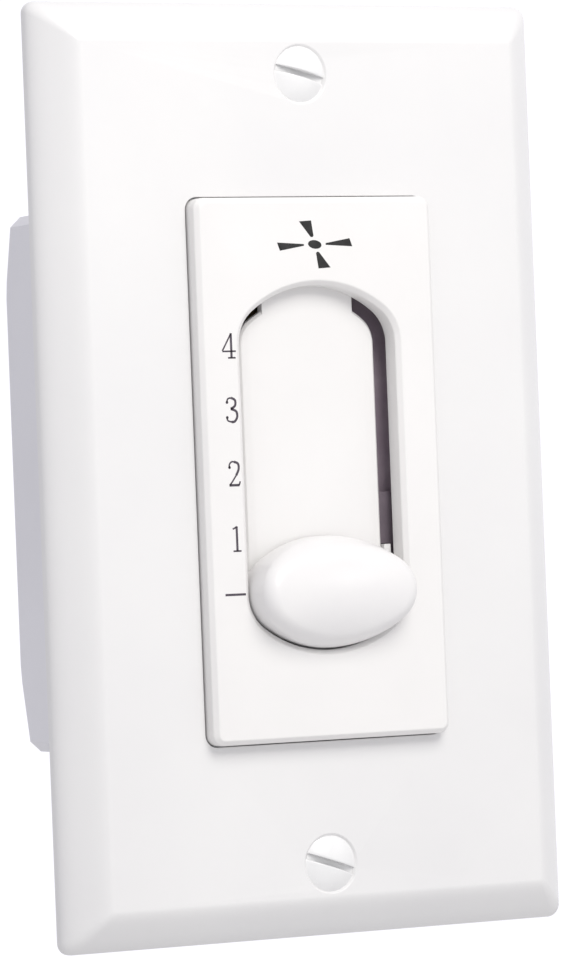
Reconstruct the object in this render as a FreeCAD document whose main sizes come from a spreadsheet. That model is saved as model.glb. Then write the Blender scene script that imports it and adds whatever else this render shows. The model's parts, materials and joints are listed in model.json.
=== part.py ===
import FreeCAD, Part
import math
import os
import re
import Sketcher

# Fan speed control switch: a white slide switch for a ceiling fan, with its wall plate.
# Millimetres. X is to the right seen from the front, Y runs back into the wall and Z is up.
# The origin is the centre of the plate's back, in the wall's surface. The knob rests at "off".

SIZES = {
    # Wall plate, with a straight bevel round a flat front
    "plate_width": 70.0,
    "plate_tall": 115.0,
    "plate_thickness": 5.6,
    "plate_rim": 1.8,
    "plate_bevel": 4.3,
    "plate_corner": 1.5,
    "plate_wall": 2.2,
    "rim_wall": 2.0,
    "rim_round": 0.6,
    "opening_gap": 0.2,
    "opening_corner": 1.6,
    "boss_width": 9.4,
    "boss_gap": 0.3,
    # Oval-head screws that hold the plate
    "plate_screw_margin": 9.08,
    "screw_head": 6.9,
    "screw_sink_angle": 82.0,
    "screw_sink_margin": 0.25,
    "screw_dome": 1.1,
    "screw_shoulder": 4.4,
    "screw_shoulder_rise": 0.8,
    "screw_crown": 1.7,
    "screw_thread": 3.46,
    "screw_length": 12.7,
    "screw_slot_width": 0.95,
    "screw_slot_depth": 1.3,
    "top_slot_angle": 14.6,
    "low_slot_angle": 18.7,
    "thread_gap": 0.05,
    "hole_gap": 0.25,
    # Steel mounting strap
    "strap_thickness": 1.3,
    "strap_side": 0.2,
    "strap_rim": 0.55,
    "strap_end": 4.75,
    "ear_width": 19.2,
    "strap_corner": 2.0,
    "box_screw_margin": 15.83,
    "box_slot_width": 4.2,
    "box_slot_length": 6.6,
    # Face insert with the knob's recess
    "insert_width": 32.9,
    "insert_share": 0.5774,
    "insert_front": 7.9,
    "insert_corner": 1.4,
    "insert_edge": 0.6,
    "insert_skin": 1.8,
    "recess_depth": 2.6,
    "recess_rim": 0.6,
    "skirt_wall": 1.3,
    "skirt_depth": 3.0,
    "floor_crown_rise": 1.0,
    "floor_shoulder": 0.35,
    "side_slot": 1.4,
    "bridge_side": 4.35,
    "rail_margin": 4.2,
    "rail_wall": 1.35,
    "notch_depth": 0.6,
    "peg_width": 2.4,
    "peg_gap": 0.1,
    "peg_head_width": 3.8,
    "peg_head_tall": 0.8,
    "peg_inset": 4.65,
    "peg_margin": 3.9,
    # Knob and its travel
    "scale_margin": 5.8,
    "knob_tall": 13.7,
    "knob_end_radius": 4.9,
    "knob_gap": 0.25,
    "knob_front": 12.05,
    "knob_crown": 9.5,
    "knob_rim": 1.4,
    "knob_floor_gap": 0.35,
    "leg_gap": 0.25,
    "leg_length": 11.0,
    "leg_lip": 0.6,
    "leg_lip_tall": 0.5,
    "snap_gap": 0.1,
    "travel_share": 0.4578,
    "recess_rise": 0.1,
    # Slide carriage behind the recess floor
    "carriage_end": 3.8,
    "carriage_thickness": 1.65,
    "slide_gap": 0.3,
    "carriage_corner": 1.5,
    "block_width": 13.8,
    "block_tall": 13.0,
    "block_back": 3.1,
    "window_gap": 0.8,
    # Detent springs in the carriage's sides
    "leaf_thickness": 0.25,
    "leaf_width": 1.2,
    "leaf_length": 16.4,
    "leaf_pocket": 1.3,
    "leaf_seat_gap": 0.05,
    "leaf_rise": 0.95,
    "nose_gap": 0.15,
    # Sheet between carriage and strap
    "sheet_thickness": 0.3,
    "sheet_gap": 0.25,
    # Wiper on the carriage
    "wiper_thickness": 0.3,
    "wiper_side": 0.6,
    "finger_width": 2.2,
    "wiper_top": 6.0,
    "wiper_fold": 0.8,
    "wiper_reach": 4.2,
    "wiper_tail": 1.7,
    "wiper_tail_lift": 0.5,
    "contact_gap": 0.05,
    "rivet_shank": 1.4,
    "rivet_head": 2.6,
    "rivet_head_tall": 0.45,
    "rivet_length": 2.6,
    "rivet_spacing": 6.8,
    "rivet_rise": 3.8,
    # Circuit board with its contacts
    "board_side": 0.4,
    "board_end": 0.95,
    "board_thickness": 1.6,
    "board_notch": 6.6,
    "contact_tall": 0.6,
    "contact_width": 3.8,
    "contact_shank": 1.6,
    "contact_tail_width": 2.6,
    "contact_tail_tall": 0.4,
    "contact_spread": 10.4,
    "contact_clear": 0.55,
    "rail_width": 2.4,
    "rail_overrun": 2.5,
    "rail_pin": 1.2,
    "pin_gap": 0.05,
    "board_screw_margin": 2.5,
    # Film capacitors
    "cap_standoff": 1.0,
    "cap_edge": 0.8,
    "cap_gap": 2.2,
    "cap_foot": 2.2,
    "cap_room": 1.75,
    "cap_step": 3.0,
    "cap_above": 6.25,
    "cap_below": 4.25,
    "cap_pin_inset": 2.0,
    "cap_side": 2.4,
    "cap_narrower": 3.5,
    "lead_width": 0.8,
    "lead_stub": 0.8,
    # Bleed resistors
    "resistor_length": 9.0,
    "resistor_width": 3.2,
    "resistor_margin": 13.6,
    "resistor_step": 5.6,
    "resistor_pitch": 15.24,
    "resistor_lift": 0.1,
    "lead_bend": 1.2,
    # Eyelets for the leads
    "eyelet_width": 2.6,
    "eyelet_bore": 1.7,
    "eyelet_flange": 4.0,
    "eyelet_flange_tall": 0.35,
    "eyelet_side": 4.0,
    "eyelet_margin": 4.6,
    # Rear housing
    "housing_side": 6.05,
    "housing_margin": 0.95,
    "housing_drop": 0.35,
    "housing_depth": 34.4,
    "housing_wall": 2.0,
    "housing_edge": 1.3,
    "housing_draft": 0.3,
    "slant_length": 9.65,
    "slant_depth": 2.2,
    "post_width": 5.8,
    "post_depth": 12.0,
    "post_side": 3.0,
    "post_end": 4.3,
    "board_post_width": 5.4,
    "lead_hole": 3.8,
    "lead_hole_spread": 12.0,
    "lead_hole_drop": 18.5,
    # Pan-head screws for the housing and the board
    "pan_width": 5.2,
    "pan_tall": 1.6,
    "pan_shank": 2.9,
    "pan_length": 9.5,
    "board_screw_length": 7.5,
    "slot_width": 0.8,
    "slot_depth": 0.9,
    # Rivet for the earth lead
    "earth_shank": 2.6,
    "earth_head": 4.4,
    "earth_head_tall": 0.8,
    "earth_side": 6.2,
    "earth_margin": 4.2,
}

# Sizes that follow from others, so that the pieces keep together when one of them changes
INSERT_TALL = "(plate_tall * insert_share)"
TRAVEL = f"({INSERT_TALL} * travel_share)"
REST_DROP = f"({TRAVEL} / 2 - recess_rise)"
KNOB_WIDTH = "(insert_width - 2 * scale_margin)"
BRIDGE_WIDTH = f"({KNOB_WIDTH} - 2 * bridge_side)"
CARRIAGE_WIDTH = "(insert_width - 2 * (insert_skin + rail_wall + slide_gap))"
CARRIAGE_TALL = "(leaf_length + 2 * carriage_end)"
WIPER_WIDTH = "(block_width - 2 * wiper_side)"
HOUSING_WIDTH = "(insert_width + 2 * housing_side)"
STRAP_WIDTH = f"({HOUSING_WIDTH} - 2 * strap_side)"
HOUSING_TALL = f"({INSERT_TALL} + 2 * housing_margin)"
STRAP_TALL = f"({HOUSING_TALL} + 2 * strap_rim)"
BOARD_WIDTH = f"({HOUSING_WIDTH} - 2 * (housing_wall + board_side))"
BOARD_TALL = f"({HOUSING_TALL} - 2 * (housing_wall + board_end))"

# Places of what comes in pairs, each as its distance from the middle
PLATE_SCREW = "(plate_tall / 2 - plate_screw_margin)"
BOX_SCREW = "(plate_tall / 2 - box_screw_margin)"
PEG_X, PEG_Z = "(insert_width / 2 - peg_inset)", f"({INSERT_TALL} / 2 - peg_margin)"
POST_X, POST_Z = f"({HOUSING_WIDTH} / 2 - post_side)", f"({HOUSING_TALL} / 2 - post_end)"
BOARD_SCREW = f"({BOARD_TALL} / 2 - board_screw_margin)"
EYELET_X = f"({BOARD_WIDTH} / 2 - board_notch - eyelet_side)"
EYELET_DROP = f"({BOARD_TALL} / 2 - eyelet_margin)"
RESISTOR_DROP = f"({BOARD_TALL} / 2 - resistor_margin)"
EARTH_DROP = f"({INSERT_TALL} / 2 + earth_margin)"

# Distances in front of the wall's surface (FRONT) or behind it (BACK), built from the sizes
PLATE_INNER = "(plate_thickness - plate_wall)"
SHEET_FRONT = "(strap_thickness + sheet_thickness)"
CARRIAGE_BACK = "(strap_thickness + sheet_thickness + sheet_gap)"
CARRIAGE_FRONT = f"({CARRIAGE_BACK} + carriage_thickness)"
FLOOR_BACK = f"({CARRIAGE_FRONT} + slide_gap)"
FLOOR_FRONT = "(insert_front - recess_depth)"
SKIN_BACK = "(insert_front - insert_skin)"
SKIRT_BACK = "(insert_front - skirt_depth)"
KNOB_BACK = f"({FLOOR_FRONT} + knob_floor_gap)"
LEG_FRONT = f"({SKIRT_BACK} - leg_gap)"
LEG_BACK = f"({CARRIAGE_BACK} + snap_gap)"
HOOK_TOP = f"({LEG_BACK} + 2 * leg_lip_tall)"
WIPER_BACK = "(block_back + wiper_thickness)"
CONTACT_FRONT = f"({WIPER_BACK} + contact_clear + wiper_tail_lift)"
BOARD_FRONT = f"({CONTACT_FRONT} + contact_tall)"
BOARD_BACK = f"({BOARD_FRONT} + board_thickness)"
CAP_FRONT = f"({BOARD_BACK} + cap_standoff)"
LEAD_END = f"({BOARD_FRONT} - lead_stub)"

# Half sizes in the plane of the wall
RECESS_HALF_WIDE = f"({KNOB_WIDTH} / 2 + knob_gap)"
RECESS_HALF_TALL = "(knob_tall / 2 + knob_gap)"
FLOOR_HALF_WIDE = f"({RECESS_HALF_WIDE} - side_slot)"
LEG_OUTER = f"({KNOB_WIDTH} / 2)"
LEG_INNER = f"({FLOOR_HALF_WIDE} + leg_gap)"
RAIL_FACE = f"({CARRIAGE_WIDTH} / 2 + slide_gap)"
CAVITY_HALF_WIDE = "(insert_width / 2 - insert_skin)"
CAVITY_HALF_TALL = f"({INSERT_TALL} / 2 - insert_skin)"
DETENT_PITCH = f"({TRAVEL} / 4)"
LOW_END = f"(0 - {REST_DROP})"
HIGH_END = f"({TRAVEL} - {REST_DROP})"
MIDWAY = "recess_rise"

# The knob's oval is drawn with four arcs: two small ones for its ends and two wide ones between
END_CENTRE = f"({KNOB_WIDTH} / 2 - knob_end_radius)"
ARC_SQUARES = f"({KNOB_WIDTH} ^ 2 + knob_tall ^ 2 - 4 * {KNOB_WIDTH} * knob_end_radius)"
WIDE_RADIUS = f"({ARC_SQUARES} / (4 * (knob_tall - 2 * knob_end_radius)))"
WIDE_CENTRE = f"({WIDE_RADIUS} - knob_tall / 2)"

FORWARD = FreeCAD.Vector(0, -1, 0)
BEVEL = {"kind": "Chamfer", "prop": "Size"}
PIN_SIDES = 12
# The sketcher's numbers for a line's start, end and centre, and for the origin
START, END, CENTRE = range(1, 4)
ROOT = -START
TINY = 1e-6
# How near two places count as the same one
NEAR = 0.01

doc = FreeCAD.newDocument("FanSpeedControl")
sheet = doc.addObject("Spreadsheet::Sheet", "Sizes")
NODES = []


def fill_sheet():
    for row, (word, number) in enumerate(SIZES.items(), 1):
        sheet.set(f"A{row}", word)
        sheet.set(f"B{row}", str(number))
        sheet.setAlias(f"B{row}", word)
    doc.recompute()


def expression(text):
    """Turns the plain size words of a text into references to the sheet."""
    return re.sub(r"[a-z_]{3,}", lambda m: "Sizes." + m[0] if m[0] in SIZES else m[0], text)


def value(text):
    return float(sheet.evalExpression(expression(text)))


def bind(item, prop, text):
    item.setExpression(prop, expression(text))


def place(item, x="0", y="0", z="0"):
    for letter, text in zip("xyz", (x, y, z)):
        bind(item, "Placement.Base." + letter, text)
    return item


def node(item, label):
    item.Label = label
    NODES.append(item)
    return item


# Helpers for bodies made from sketches


def new_body(name):
    return doc.addObject("PartDesign::Body", name)


def new_sketch(body, name, offset="0", role="XZ_Plane"):
    """A sketch on one of the body's own planes; the XZ plane's offset runs to the front."""
    item = body.newObject("Sketcher::SketchObject", name)
    plane = [f for f in body.Origin.OriginFeatures if f.Role == role][0]
    item.AttachmentSupport = (plane, "")
    item.MapMode = "FlatFace"
    bind(item, "AttachmentOffset.Base.z", offset)
    return item


def dimension(sketch, kind, where, text):
    index = sketch.addConstraint(Sketcher.Constraint(kind, *where, value(text)))
    name = f"size{index}"
    sketch.renameConstraint(index, name)
    bind(sketch, "Constraints." + name, text)


def pin_point(sketch, line, end, x, y):
    dimension(sketch, "DistanceX", (ROOT, START, line, end), x)
    dimension(sketch, "DistanceY", (ROOT, START, line, end), y)


def arc_between(first, last, axis, level):
    """The arc from first to last whose centre lies at the given level of one axis."""
    middle = (first + last) * 0.5
    chord = last - first
    if axis == "x":
        centre = FreeCAD.Vector(level, middle.y - chord.x * (level - middle.x) / chord.y, 0)
    else:
        centre = FreeCAD.Vector(middle.x - chord.y * (level - middle.y) / chord.x, level, 0)
    onward = (first - centre).cross(last - centre).z > -TINY
    low, high = (first, last) if onward else (last, first)
    angles = [math.atan2(p.y - centre.y, p.x - centre.x) for p in (low, high)]
    circle = Part.Circle(centre, FreeCAD.Vector(0, 0, 1), (first - centre).Length)
    return Part.ArcOfCircle(circle, *angles), onward


def outline(sketch, corners, curves=None):
    """A closed profile through the corners; curves gives a side's number and its arc's centre."""
    curves = curves or {}
    points = [FreeCAD.Vector(value(x), value(y), 0) for x, y in corners]
    sides = []
    for i, point in enumerate(points):
        after = points[(i + 1) % len(points)]
        if i in curves:
            axis, text = curves[i]
            shape, onward = arc_between(point, after, axis, value(text))
            line = sketch.addGeometry(shape, False)
            sides.append((line, START if onward else END, END if onward else START))
            where = (ROOT, START, line, CENTRE)
            dimension(sketch, "DistanceX" if axis == "x" else "DistanceY", where, text)
        else:
            line = sketch.addGeometry(Part.LineSegment(point, after), False)
            sides.append((line, START, END))
    for i, (line, start, end) in enumerate(sides):
        after, after_start, after_end = sides[(i + 1) % len(sides)]
        sketch.addConstraint(Sketcher.Constraint("Coincident", line, end, after, after_start))
        pin_point(sketch, line, start, *corners[i])


def rectangle(sketch, width, tall, x="0", y="0"):
    left, right = f"{x} - ({width}) / 2", f"{x} + ({width}) / 2"
    low, high = f"{y} - ({tall}) / 2", f"{y} + ({tall}) / 2"
    outline(sketch, [(left, low), (right, low), (right, high), (left, high)])


def rounded_rectangle(sketch, width, tall, radius):
    half_x, half_y, round_by = value(width) / 2, value(tall) / 2, value(radius)
    inner_x, inner_y = half_x - round_by, half_y - round_by
    up = FreeCAD.Vector(0, 0, 1)
    centres = [(inner_x, -inner_y), (inner_x, inner_y), (-inner_x, inner_y), (-inner_x, -inner_y)]
    ends = [
        ((-inner_x, -half_y), (inner_x, -half_y)),
        ((half_x, -inner_y), (half_x, inner_y)),
        ((inner_x, half_y), (-inner_x, half_y)),
        ((-half_x, inner_y), (-half_x, -inner_y)),
    ]
    for i in range(4):
        sketch.addGeometry(Part.LineSegment(*(FreeCAD.Vector(*p, 0) for p in ends[i])), False)
        circle = Part.Circle(FreeCAD.Vector(*centres[i], 0), up, round_by)
        start = (i - 1) * math.pi / 2
        sketch.addGeometry(Part.ArcOfCircle(circle, start, start + math.pi / 2), False)
    for i in range(8):
        sketch.addConstraint(Sketcher.Constraint("Tangent", i, END, (i + 1) % 8, START))
    for i in (0, 4):
        sketch.addConstraint(Sketcher.Constraint("Horizontal", i))
        sketch.addConstraint(Sketcher.Constraint("Vertical", i + 2))
    for i in (3, 5, 7):
        sketch.addConstraint(Sketcher.Constraint("Equal", 1, i))
    dimension(sketch, "Radius", (1,), radius)
    dimension(sketch, "DistanceX", (ROOT, START, 2, START), f"({width}) / 2")
    dimension(sketch, "DistanceX", (ROOT, START, 6, START), f"0 - ({width}) / 2")
    dimension(sketch, "DistanceY", (ROOT, START, 4, START), f"({tall}) / 2")
    dimension(sketch, "DistanceY", (ROOT, START, 0, START), f"0 - ({tall}) / 2")


def circle(sketch, width, x="0", y="0"):
    centre = FreeCAD.Vector(value(x), value(y), 0)
    shape = Part.Circle(centre, FreeCAD.Vector(0, 0, 1), value(width) / 2)
    line = sketch.addGeometry(shape, False)
    pin_point(sketch, line, CENTRE, x, y)
    dimension(sketch, "Radius", (line,), f"({width}) / 2")


def feature(body, kind, name, profile, backward=False, **lengths):
    item = body.newObject("PartDesign::" + kind, name)
    item.Profile = profile
    item.Reversed = backward
    for prop, text in lengths.items():
        bind(item, prop, text)
    return item


def pad(body, name, profile, length, backward=False):
    return feature(body, "Pad", name, profile, backward, Length=length)


def pocket(body, name, profile, length, backward=False):
    return feature(body, "Pocket", name, profile, backward, Length=length)


def across(item):
    """Lets a pad or a pocket run to both sides of its sketch."""
    item.Midplane = True
    return item


def pad_across(body, name, profile, length):
    return across(pad(body, name, profile, length))


def revolve(body, name, profile, axis="H_Axis"):
    item = body.newObject("PartDesign::Revolution", name)
    item.Profile = profile
    item.ReferenceAxis = (profile, [axis])
    return item


def round_edges(body, name, radius, wanted, kind="Fillet", prop="Radius"):
    """Rounds or bevels the edges of the body so far that the test picks."""
    doc.recompute()
    base = body.Tip
    edges = [f"Edge{i}" for i, edge in enumerate(base.Shape.Edges, 1) if wanted(edge)]
    item = body.newObject("PartDesign::" + kind, name)
    item.Base = (base, edges)
    bind(item, prop, radius)
    body.Tip = item
    return item


def along(edge, direction):
    """Is this a straight edge along the direction?"""
    if edge.Curve.TypeId != "Part::GeomLine":
        return False
    return abs(abs(edge.tangentAt(edge.FirstParameter).dot(direction)) - 1) < TINY


def across_level(edge, level):
    """Does the edge lie wholly at this distance in front of the wall?"""
    box = edge.BoundBox
    return abs(box.YMin + level) < NEAR and abs(box.YMax + level) < NEAR


# The knob's oval, and the shapes that run parallel to it


def oval_corner(out):
    """Where an end arc meets a wide arc, on the oval made wider by out all round."""
    share = f"/ ({WIDE_RADIUS} - knob_end_radius)"
    x = f"({END_CENTRE} * ({WIDE_RADIUS} + {out}) {share})"
    z = f"({WIDE_CENTRE} * (knob_end_radius + {out}) {share})"
    return x, z


def oval_outline(sketch):
    x, z = oval_corner("0")
    corners = [(x, f"0 - {z}"), (x, z), (f"0 - {x}", z), (f"0 - {x}", f"0 - {z}")]
    right, left = ("x", END_CENTRE), ("x", f"0 - {END_CENTRE}")
    top, low = ("y", f"0 - {WIDE_CENTRE}"), ("y", WIDE_CENTRE)
    outline(sketch, corners, {0: right, 1: top, 2: left, 3: low})


def run_outline(sketch, out):
    """What the oval, made wider by out, sweeps while it slides over the whole travel."""
    half, (x, z) = f"({KNOB_WIDTH} / 2 + {out})", oval_corner(out)
    corners = [
        (half, LOW_END),
        (half, HIGH_END),
        (x, f"{HIGH_END} + {z}"),
        (f"0 - {x}", f"{HIGH_END} + {z}"),
        (f"0 - {half}", HIGH_END),
        (f"0 - {half}", LOW_END),
        (f"0 - {x}", f"{LOW_END} - {z}"),
        (x, f"{LOW_END} - {z}"),
    ]
    right, left = ("x", END_CENTRE), ("x", f"0 - {END_CENTRE}")
    top = ("y", f"{HIGH_END} - {WIDE_CENTRE}")
    low = ("y", f"{LOW_END} + {WIDE_CENTRE}")
    outline(sketch, corners, {1: right, 2: top, 3: left, 5: left, 6: low, 7: right})


# Helpers for solids made from simple forms, each given by the ends of its spans


def block(name, x, y, z):
    item = doc.addObject("Part::Box", name)
    for prop, (low, high) in zip(("Length", "Width", "Height"), (x, y, z)):
        bind(item, prop, f"({high}) - ({low})")
    return place(item, x[0], y[0], z[0])


def square_pin(name, width, y, x, z):
    half = f"({width}) / 2"
    return block(name, (f"{x} - {half}", f"{x} + {half}"), y, (f"{z} - {half}", f"{z} + {half}"))


def rod(name, width, y, x="0", z="0"):
    """A cylinder from front to back."""
    item = doc.addObject("Part::Cylinder", name)
    item.Placement.Rotation = FreeCAD.Rotation(FreeCAD.Vector(1, 0, 0), -90)
    bind(item, "Radius", f"({width}) / 2")
    bind(item, "Height", f"({y[1]}) - ({y[0]})")
    return place(item, x, y[0], z)


def pin(name, width, y, x="0", z="0"):
    """A hidden small round from front to back, drawn with flat sides to keep the solids light."""
    item = doc.addObject("Part::Prism", name)
    item.Polygon = PIN_SIDES
    item.Placement.Rotation = FreeCAD.Rotation(FreeCAD.Vector(1, 0, 0), -90)
    bind(item, "Circumradius", f"({width}) / 2")
    bind(item, "Height", f"({y[1]}) - ({y[0]})")
    return place(item, x, y[0], z)


def join(name, *items):
    item = doc.addObject("Part::MultiFuse", name)
    item.Shapes = list(items)
    item.Refine = True
    return item


def cut(name, base, tool):
    item = doc.addObject("Part::Cut", name)
    item.Base = base
    item.Tool = tool
    return item


def group(name, items):
    item = doc.addObject("Part::Compound", name)
    item.Links = items
    return item


# Wall plate: bevelled, hollow behind, with the insert's opening and two countersunk holes
def wall_plate():
    body = new_body("Plate")
    rim = new_sketch(body, "PlateRim")
    rectangle(rim, "plate_width", "plate_tall")
    pad(body, "PlateRimPad", rim, "plate_rim")
    foot = new_sketch(body, "PlateBevelFoot", "plate_rim")
    rectangle(foot, "plate_width", "plate_tall")
    face = new_sketch(body, "PlateFace", "plate_thickness")
    rectangle(face, "plate_width - 2 * plate_bevel", "plate_tall - 2 * plate_bevel")
    bevel = body.newObject("PartDesign::AdditiveLoft", "PlateBevel")
    bevel.Profile = foot
    bevel.Sections = [face]
    bevel.Ruled = True
    round_edges(body, "PlateCorners", "plate_corner", lambda e: along(e, FORWARD))
    front_edges = lambda e: across_level(e, value("plate_thickness"))
    round_edges(body, "PlateFaceRound", "rim_round", front_edges)
    back = new_sketch(body, "PlateBack")
    rectangle(back, "plate_width - 2 * rim_wall", "plate_tall - 2 * rim_wall")
    inner = new_sketch(body, "PlateInner", PLATE_INNER)
    # The inner face keeps the bevel's slope, one wall's thickness in
    inset = f"(plate_bevel * {PLATE_INNER} / plate_thickness + rim_wall)"
    rectangle(inner, f"plate_width - 2 * {inset}", f"plate_tall - 2 * {inset}")
    hollow = body.newObject("PartDesign::SubtractiveLoft", "PlateHollow")
    hollow.Profile = back
    hollow.Sections = [inner]
    hollow.Ruled = True
    bosses = new_sketch(body, "PlateBosses", PLATE_INNER)
    for side in ("0 - ", ""):
        circle(bosses, "boss_width", "0", f"{side}{PLATE_SCREW}")
    boss_length = f"{PLATE_INNER} - strap_thickness - boss_gap"
    pad(body, "PlateBossPad", bosses, boss_length, backward=True)
    opening = new_sketch(body, "PlateOpening", "plate_thickness")
    around = "2 * opening_gap"
    corner = "opening_corner"
    rounded_rectangle(opening, f"insert_width + {around}", f"{INSERT_TALL} + {around}", corner)
    pocket(body, "PlateOpeningCut", opening, "plate_thickness")
    holes = new_sketch(body, "PlateHoles", "plate_thickness")
    for side in ("0 - ", ""):
        circle(holes, "screw_thread", "0", f"{side}{PLATE_SCREW}")
    doc.recompute()
    sunk = body.newObject("PartDesign::Hole", "PlateSunkHoles")
    sunk.Profile = holes
    sunk.DepthType = "ThroughAll"
    bind(sunk, "Diameter", "screw_thread + 2 * hole_gap")
    sunk.HoleCutType = "Countersink"
    sunk.HoleCutCustomValues = True
    bind(sunk, "HoleCutDiameter", "screw_head + 2 * screw_sink_margin")
    bind(sunk, "HoleCutCountersinkAngle", "screw_sink_angle")
    return node(body, "wall_plate")


# Oval-head screws: a sunk cone under a low dome, with one straight slot each
def plate_screw(name, height, angle):
    body = new_body(name + "Head")
    profile = new_sketch(body, name + "Profile", role="YZ_Plane")
    head, thread = "(screw_head / 2)", "(screw_thread / 2)"
    # The cone shares the plate's sink angle; the margin lets it sit a little below the face
    sunk = "(screw_sink_margin / tan(screw_sink_angle / 2))"
    rim = f"(0 - plate_thickness + {sunk})"
    neck = f"({rim} + ({head} - {thread}) / tan(screw_sink_angle / 2))"
    top = f"({rim} - screw_dome)"
    # The low dome is drawn with two slopes, the steeper one outside
    shoulder = (f"{rim} - screw_shoulder_rise", "screw_shoulder / 2")
    crown = (top, "screw_crown / 2")
    outline(profile, [(top, "0"), (neck, "0"), (neck, thread), (rim, head), shoulder, crown])
    revolve(body, name + "Turned", profile)
    slot = new_sketch(body, name + "Slot", "plate_thickness + screw_dome")
    bind(slot, "AttachmentOffset.Rotation.Angle", f"0 - {angle}")
    rectangle(slot, "2 * screw_head", "screw_slot_width")
    pocket(body, name + "SlotCut", slot, f"screw_slot_depth + {sunk}")
    place(body, z=height)
    shank = pin(name + "Shank", "screw_thread", (neck, "screw_length - plate_thickness"), "0", height)
    return join(name, body, shank)


def plate_screws():
    top = plate_screw("TopScrew", PLATE_SCREW, "top_slot_angle")
    low = plate_screw("LowScrew", f"0 - {PLATE_SCREW}", "low_slot_angle")
    return node(group("PlateScrews", [top, low]), "plate_screws")


FOUR_SIDES = [(x, z) for x in ("0 - ", "") for z in ("0 - ", "")]


# Mounting strap: flat pressed steel, its ears drilled for the wall box and for the plate
def mounting_strap():
    body = new_body("StrapPlate")
    middle = new_sketch(body, "StrapMiddle")
    rectangle(middle, STRAP_WIDTH, STRAP_TALL)
    pad(body, "StrapMiddlePad", middle, "strap_thickness")
    ears = new_sketch(body, "StrapEars")
    rectangle(ears, "ear_width", "plate_tall - 2 * strap_end")
    pad(body, "StrapEarsPad", ears, "strap_thickness")
    outer = lambda e: along(e, FORWARD) and (
        abs(abs(e.CenterOfMass.x) - value(f"{STRAP_WIDTH} / 2")) < NEAR
        or abs(abs(e.CenterOfMass.z) - value("plate_tall / 2 - strap_end")) < NEAR
    )
    round_edges(body, "StrapCorners", "strap_corner", outer, **BEVEL)
    window = new_sketch(body, "StrapWindow", "strap_thickness")
    window_outline(window)
    for x, z in FOUR_SIDES:
        side = "peg_width + 2 * peg_gap"
        rectangle(window, side, side, f"{x}{PEG_X}", f"{z}{PEG_Z}")
    pocket(body, "StrapWindowCut", window, "strap_thickness")
    slots = new_sketch(body, "StrapBoxSlots", "strap_thickness")
    half, straight = "(box_slot_width / 2)", "((box_slot_length - box_slot_width) / 2)"
    for side in ("0 - ", ""):
        middle_z = f"({side}{BOX_SCREW})"
        low, high = f"{middle_z} - {straight}", f"{middle_z} + {straight}"
        corners = [(f"0 - {half}", low), (half, low), (half, high), (f"0 - {half}", high)]
        outline(slots, corners, {0: ("y", low), 2: ("y", high)})
        circle(slots, "screw_thread + 2 * thread_gap", "0", f"{side}{PLATE_SCREW}")
    pocket(body, "StrapSlotCut", slots, "strap_thickness")
    through = ("0 - 2 * strap_thickness", "strap_thickness")
    holes = [
        pin(f"StrapHole{i}", "pan_shank + 2 * pin_gap", through, f"{x}{POST_X}", f"{z}{POST_Z}")
        for i, (x, z) in enumerate(FOUR_SIDES)
    ]
    earth = "earth_shank + 2 * pin_gap"
    holes.append(pin("StrapEarthHole", earth, through, "earth_side", f"0 - {EARTH_DROP}"))
    return node(cut("Strap", body, group("StrapHoles", holes)), "mounting_strap")


def window_outline(sketch):
    """The window that the carriage's block slides along."""
    tall = f"block_tall + {TRAVEL} + 2 * window_gap"
    rectangle(sketch, "block_width + 2 * window_gap", tall, "0", MIDWAY)


# Face insert: a moulded cap whose recess floor is a crowned tongue, held at both ends by
# bridges, so that a slot is left down each side for the knob's legs
def recess_floor():
    body = new_body("Floor")
    plan = new_sketch(body, "FloorPlan", FLOOR_BACK)
    run_outline(plan, "(knob_gap - side_slot)")
    pad(body, "FloorPad", plan, f"{FLOOR_FRONT} - {FLOOR_BACK}")
    bridges = new_sketch(body, "FloorBridges", FLOOR_BACK)
    # The bridges end inside the skirt, which carries them
    reach = f"({RECESS_HALF_TALL} + skirt_wall / 2)"
    rectangle(bridges, BRIDGE_WIDTH, f"{TRAVEL} + 2 * {reach}", "0", MIDWAY)
    pad(body, "FloorBridgePad", bridges, f"{FLOOR_FRONT} - {FLOOR_BACK}")
    crown = new_sketch(body, "FloorCrown", role="XY_Plane")
    half = RECESS_HALF_WIDE
    radius = f"(({half} ^ 2 + floor_crown_rise ^ 2) / (2 * floor_crown_rise))"
    axis, edge = f"({radius} - {FLOOR_FRONT})", f"(floor_crown_rise - {FLOOR_FRONT})"
    clear = "0 - insert_front"
    corners = [(half, clear), (f"0 - {half}", clear), (f"0 - {half}", edge), (half, edge)]
    outline(crown, corners, {2: ("y", axis)})
    across(pocket(body, "FloorCrownCut", crown, f"2 * {INSERT_TALL}"))
    beside = value(f"{BRIDGE_WIDTH} / 2") + NEAR
    behind = 0 - value(f"{FLOOR_BACK} + floor_shoulder / 2")
    shoulder = lambda e: e.BoundBox.YMax < behind and abs(e.CenterOfMass.x) > beside
    round_edges(body, "FloorShoulder", "floor_shoulder", shoulder, **BEVEL)
    return body


def rail_outline(sketch, side):
    """A guide rail, with five notches along its inner face for the detent springs."""
    end, root = f"({INSERT_TALL} / 2 - rail_margin)", "((insert_width - insert_skin) / 2)"
    corners = [(root, f"0 - {end}"), (root, end), (RAIL_FACE, end)]
    for step in reversed(range(5)):
        middle = f"({LOW_END} + {step} * {DETENT_PITCH})"
        corners.append((RAIL_FACE, f"{middle} + notch_depth"))
        corners.append((f"({RAIL_FACE} + notch_depth)", middle))
        corners.append((RAIL_FACE, f"{middle} - notch_depth"))
    corners.append((RAIL_FACE, f"0 - {end}"))
    outline(sketch, [(f"{side} * {x}", z) for x, z in corners])


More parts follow.
